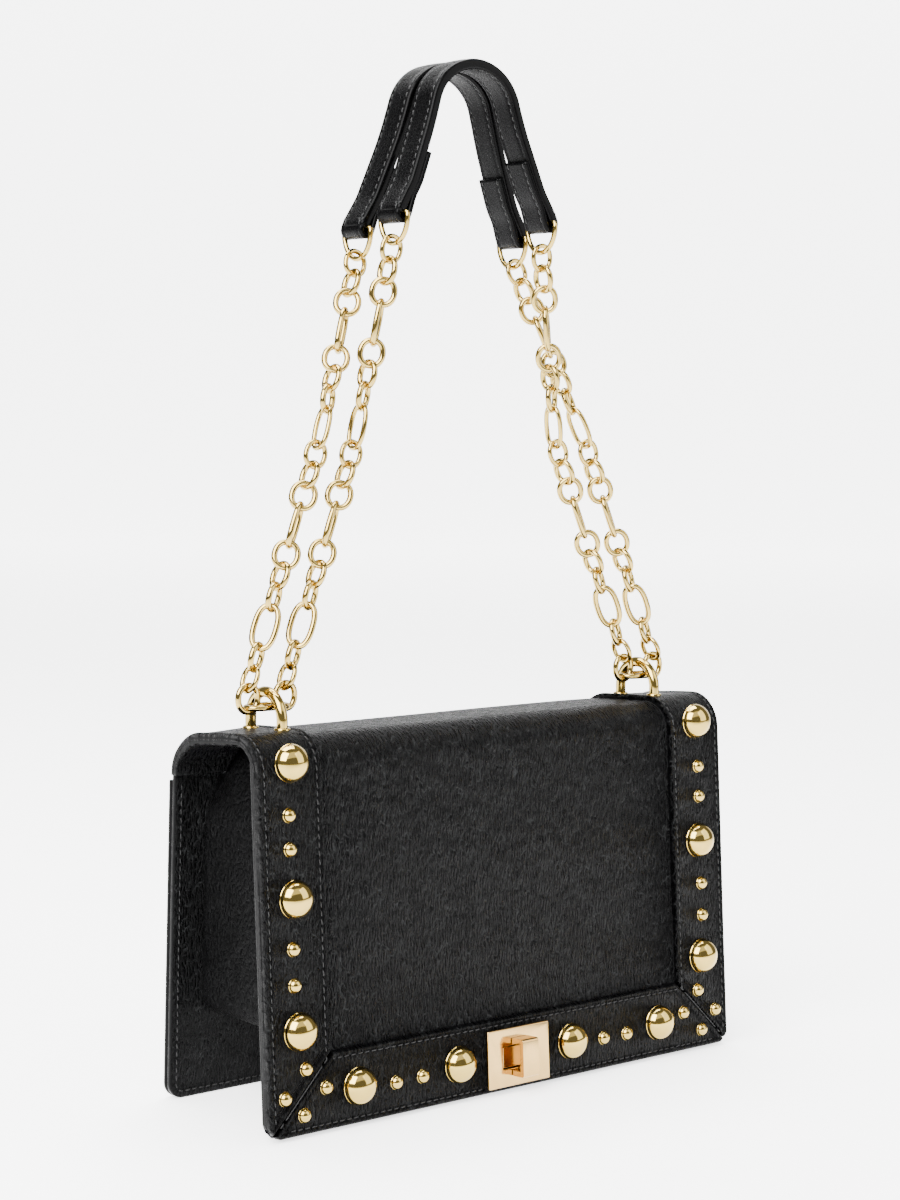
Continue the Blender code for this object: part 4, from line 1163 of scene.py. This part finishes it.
frontFoot = (panel["leather"] - frontOut) * tan(bag["frontLean"])
frontHead = (bag["top"] - panel["topDrop"]) / cos(bag["frontLean"])
frontPanel = makePlate(frontPlace, frontOut - panel["leather"], frontOut, frontFoot, frontHead)
frontPanel = cutBox(frontPanel, panel["window"], lockMatrix(frontOut - panel["leather"] / 2))
addPiece("frontPanel", frontPanel, pebbledLeather, "bag_body", ["front_panel"])
backFoot = panel["leather"] * tan(bag["backLean"])
backHead = (bag["hingeHeight"] - bag["seat"]) / cos(bag["backLean"])
addPiece("backPanel", makePlate(backPlace, -panel["leather"], 0.0, backFoot, backHead), pebbledLeather,
         "bag_body", ["back_panel"])
pocketLow, pocketHigh = bag["seat"], bag["seat"] + panel["pocket"]
pocketHead = backHead - panel["pocketDrop"]
addPiece("rearPocketPanel", makePlate(backPlace, pocketLow, pocketHigh, 0.0, pocketHead), pebbledLeather,
         "bag_body", ["rear_pocket_panel"])
seams = [edgeSeam(frontPlace, frontOut - panel["leather"], -1, frontFoot, frontHead),
         edgeSeam(backPlace, -panel["leather"], -1, backFoot, backHead),
         edgeSeam(backPlace, pocketHigh, 1, 0.0, pocketHead)]
addPiece("panelStitches", joined("panelStitches", seams), blackThread, "bag_body")

# Gusset and lining: soft leather folded inwards at the mouth, the cloth following it

gusset = {"half": 0.1148, "pinch": 0.0070, "kink": 0.1300, "low": 0.0380, "top": 0.1560, "bend": 0.0090,
          "leather": 0.0018, "bow": 0.0042, "crease": 0.00045, "sag": 0.0012, "rearDrop": 0.0125,
          "clear": 0.0005, "walls": (0.080, 0.104), "bows": (0.045, 0.125), "creaseWave": 0.045,
          "dropAcross": (0.74, 0.97), "dropUp": (0.115, 0.156)}


def gussetLine(inward, top):
    # The U that the sheet follows, seen from the front: down one side, along the base and up again.
    wide, low = gusset["half"] - inward, gusset["low"] + inward
    corners = [(wide - gusset["pinch"], top), (wide, gusset["kink"]), (wide, low), (0.0, low)]
    upper = roundCorner(*corners[:3], 0.022, 10)
    lower = roundCorner(*corners[1:], gusset["bend"] - min(inward, 0.003), 14)
    start = np.array(corners[0])
    rim = start + (upper[0] - start) * (np.arange(10)[:, None] / 10)
    wall = upper[-1] + (lower[0] - upper[-1]) * (np.arange(1, 34)[:, None] / 34)
    base = lower[-1] + (np.array(corners[3]) - lower[-1]) * (np.arange(1, 41)[:, None] / 40)
    right = np.concatenate([rim, upper, wall, lower, base])
    return np.concatenate([right[:-1], right[::-1] * [-1, 1]])


def gussetSheet(inward, top, frontMore, rearMore):
    # Points of the U-shaped sheet by place along its line and across the bag's depth, bowed inwards.
    line = gussetLine(inward, top)
    share = np.linspace(0, 1, 25)
    x, z = line[:, 0][:, None], line[:, 1][:, None]
    frontFace, backFace = frontOut - panel["leather"] - frontMore, -panel["leather"] - rearMore
    near = bag["frontFloor"] + tan(bag["frontLean"]) * z - frontFace / cos(bag["frontLean"])
    far = bag["backFloor"] - tan(bag["backLean"]) * z + backFace / cos(bag["backLean"])
    y = near + (far - near) * share
    wall = smoothStep(np.abs(x), *gusset["walls"])
    height = smoothStep(z, *gusset["bows"])
    bulge = np.sin(pi * share)
    bow = gusset["bow"] * bulge ** 1.3 * (0.25 + 0.75 * height)
    fold = gusset["crease"] * ripple(y * 1.6, z, gusset["creaseWave"], 11.0) * bulge
    x = x - np.sign(x) * wall * (bow + fold)
    along = np.clip((x / gusset["half"] + 1) / 2, 0, 1)
    sag = (1 - wall) * gusset["sag"] * bulge * np.sin(pi * along)
    under = gusset["rearDrop"] * smoothStep(share, *gusset["dropAcross"]) * smoothStep(z, *gusset["dropUp"])
    return np.stack([x + 0 * y, y, z - sag - under + 0 * y], -1)


def thickened(points, thickness):
    # Closes a sheet to a slab by shifting it along its own normals, with rounded rims.
    along = np.gradient(points, axis=0)
    across = np.gradient(points, axis=1)
    normal = np.cross(along, across)
    normal /= np.linalg.norm(normal, axis=2)[..., None]
    share = np.array([0.15, 0.5, 0.85])
    swell = np.sqrt(1 - (2 * share - 1) ** 2) * thickness / 2

    def rim(side, way):
        # The rounded rim along one side of the sheet; way points out of the sheet there.
        outward = way * across[:, side] / np.linalg.norm(across[:, side], axis=2)[..., None]
        return np.concatenate([points[:, side] + normal[:, side] * thickness * s + outward * e * 0.6
                               for s, e in zip(share, swell)], 1)

    below = (points + normal * thickness)[:, ::-1]
    return np.concatenate([points, rim(slice(-1, None), 1), below, rim(slice(1), -1)[:, ::-1]], 1)


def makeGusset():
    # Both cut ends at the mouth are painted.
    solid = thickened(gussetSheet(0.0, gusset["top"], gusset["clear"], gusset["clear"]), gusset["leather"])
    paint = np.zeros(solid.shape[:2])
    paint[:2] = 1
    paint[-2:] = 1
    return joined("gusset", [sweepLoop(solid, None, paint)], True)


addPiece("gussetLeather", makeGusset(), bodyLeather, "bag_body", ["gusset"])

lining = {"inset": 0.0022, "top": 0.1520, "front": 0.0034, "rear": 0.0007, "cloth": 0.0009,
          "swell": 0.0008, "wall": 0.8, "pocketHalf": 0.0750, "pocketHigh": 0.1388, "pocketLow": 0.0640,
          "pocketCorner": 0.007, "pocketCloth": 0.0011, "pocketGap": 0.0012, "mouth": 0.0028,
          "mouthDepth": 0.03, "crease": 0.0002}


def makeLining():
    # The cloth inside the gusset, and a flat wall at the front and at the rear.
    sheet = gussetSheet(lining["inset"], lining["top"], lining["front"], lining["rear"])
    parts = [sweepLoop(thickened(sheet, lining["cloth"]))]
    share = np.linspace(0, 1, 40)[None, :, None]
    for column, toward in ((0, 1), (-1, -1)):
        edge = sheet[:, column]
        half = len(edge) // 2
        left, right = edge[:half + 1], edge[::-1][:half + 1]
        wall = left[:, None] + (right[:, None] - left[:, None]) * share
        swell = np.sin(pi * share[..., 0]) * smoothStep(wall[..., 2], 0.04, 0.09)
        uneven = 0.6 + 0.4 * ripple(wall[..., 0], wall[..., 2], 0.06, 13.0)
        wall[..., 1] += toward * lining["swell"] * swell * uneven
        parts.append(sweepLoop(thickened(wall, lining["cloth"] * lining["wall"])))
    return joined("lining", parts)


addPiece("liningBox", makeLining(), liningCloth, "bag_body", ["lining"])


def makeInnerPocket():
    # A flat patch with rounded lower corners, open along its top, where the cloth stands off a little.
    half, high, low = lining["pocketHalf"], lining["pocketHigh"], lining["pocketLow"]
    wide, tall = np.meshgrid(np.linspace(-half, half, 60), np.linspace(low, high, 34))
    mouth = smoothStep(tall, high - lining["mouthDepth"], high) * np.cos(pi * wide / (2 * half)) ** 2
    corner = lining["pocketCorner"]
    past = np.clip(np.abs(wide) - (half - corner), 0, None)
    floor = low + corner - np.sqrt(np.clip(corner ** 2 - past ** 2, 0, None))
    tall = np.maximum(tall, floor + (tall - low) * 0.02)
    out = (-(panel["leather"] + lining["cloth"] + lining["pocketGap"]) - mouth * lining["mouth"]
           - lining["crease"] * ripple(wide, tall, 0.04, 17.0))
    patch = thickened(backPlace(wide, tall, out), -lining["pocketCloth"])
    return joined("innerPocket", [sweepLoop(patch)])


addPiece("innerPocket", makeInnerPocket(), liningCloth, "bag_body", ["inner_pocket"])
print("body made")

# Floor, lights and camera

studio = {"floor": (0.905, 0.905, 0.905), "glow": 4.3, "reach": 4.0, "bend": 1.6, "high": 4.0,
          "yaw": 0.688635, "pitch": -0.081970, "roll": 0.012136, "focal": 2442.7, "frameTall": 1200,
          "eye": (-0.708109, -0.847217, 0.308958), "air": (0.95, 0.96, 0.97), "airStrength": 0.36}
lights = {"keyBox": ((-1.5, -0.6, 1.5), (0, 0, 0.15), (1.7, 1.7), 190),
          "sideBox": ((1.0, -1.2, 0.9), (0, 0, 0.15), (1.1, 1.5), 22),
          "topBox": ((0.1, 0.5, 1.9), (0, 0, 0.1), (1.6, 1.2), 120),
          "highBox": ((-0.3, -2.0, 2.2), (0, 0, 0.1), (3.0, 1.6), 24)}


def makeBackdrop():
    # A pale sheet that lies flat under the bag and curves up far behind it, one surface.
    reach, bend, high = studio["reach"], studio["bend"], studio["high"]
    turn = np.linspace(0, pi / 2, 24)
    flat = np.linspace(-3.0, reach, 30)
    rise = np.linspace(bend, high, 12)[1:]
    run = np.concatenate([flat, reach + bend * np.sin(turn)[1:], np.full(len(rise), reach + bend)])
    lift = np.concatenate([0 * flat, bend * (1 - np.cos(turn))[1:], rise])
    across = np.linspace(-6, 6, 40)
    ahead = np.array([sin(studio["yaw"]), cos(studio["yaw"])])
    aside = np.array([cos(studio["yaw"]), -sin(studio["yaw"])])
    points = np.stack([run[:, None] * ahead[0] + across * aside[0],
                       run[:, None] * ahead[1] + across * aside[1],
                       np.broadcast_to(lift[:, None], (len(run), len(across)))], -1)
    mesh = makeMesh("backdrop", points, gridFaces(len(run), len(across)))
    mesh.materials.append(cardMaterial(ahead))
    backdrop = linked("backdrop", mesh)


def cardMaterial(ahead):
    # The card glows more the further it lies from the camera, and less where metal mirrors it.
    material, tree, shader = startMaterial("paleCard")
    cloud = noiseOf(tree, coordinates(tree, False), 1.5)
    tinted = mixColour(tree, cloud, [c * 0.99 for c in studio["floor"]], studio["floor"])
    tree.links.new(tinted.socket, shader.inputs["Base Color"])
    place = makeNode(tree, "ShaderNodeSeparateXYZ", None, Vector=coordinates(tree, False))
    walk = place.out("X") * float(ahead[0]) + place.out("Y") * float(ahead[1])
    near = mixColour(tree, walk.stepped(-0.75, -0.25), (0.02, 0.02, 0.02), (0.46, 0.46, 0.46))
    lit = mixColour(tree, walk.stepped(0.2, 4.0), near, (1.0, 1.0, 1.0))
    mirrored = makeNode(tree, "ShaderNodeLightPath").out("Is Glossy Ray")
    dimmed = mixColour(tree, mirrored * walk.stepped(0.25, 0.9) * 0.9, lit, (0.03, 0.03, 0.03))
    tree.links.new(dimmed.socket, shader.inputs["Emission Color"])
    shader.inputs["Emission Strength"].default_value = studio["glow"]
    shader.inputs["Roughness"].default_value = 0.75
    shader.inputs["Specular IOR Level"].default_value = 0.2
    return material


def addLight(name, place, target, size, power):
    data = bpy.data.lights.new(name, "AREA")
    data.shape = "RECTANGLE"
    data.size, data.size_y = size
    data.energy = power
    light = linked(name, data)
    light.location = place
    light.rotation_mode = "QUATERNION"
    light.rotation_quaternion = (Vector(target) - Vector(place)).to_track_quat("-Z", "Y")


makeBackdrop()
for name, values in lights.items():
    addLight(name, *values)
world = bpy.data.worlds.new("studioAir")
bpy.context.scene.world = world
world.use_nodes = True
air = world.node_tree.nodes["Background"].inputs
air["Color"].default_value = (*studio["air"], 1)
air["Strength"].default_value = studio["airStrength"]


def placeCamera():
    # The view from the photograph's own side: turned, tipped down a little and rolled a little.
    yaw, pitch, roll = studio["yaw"], studio["pitch"], studio["roll"]
    ahead = Vector((sin(yaw) * cos(pitch), cos(yaw) * cos(pitch), sin(pitch)))
    right = Vector((cos(yaw), -sin(yaw), 0))
    above = right.cross(ahead)
    turned = cos(roll) * right + sin(roll) * above
    raised = cos(roll) * above - sin(roll) * right
    data = bpy.data.cameras.new("camera")
    data.sensor_width = 36
    data.lens = studio["focal"] * data.sensor_width / studio["frameTall"]
    data.clip_start, data.clip_end = 0.05, 60
    camera = linked("camera", data)
    turn = Matrix((turned, raised, -ahead)).transposed().to_4x4()
    camera.matrix_world = Matrix.Translation(studio["eye"]) @ turn
    bpy.context.scene.camera = camera


placeCamera()
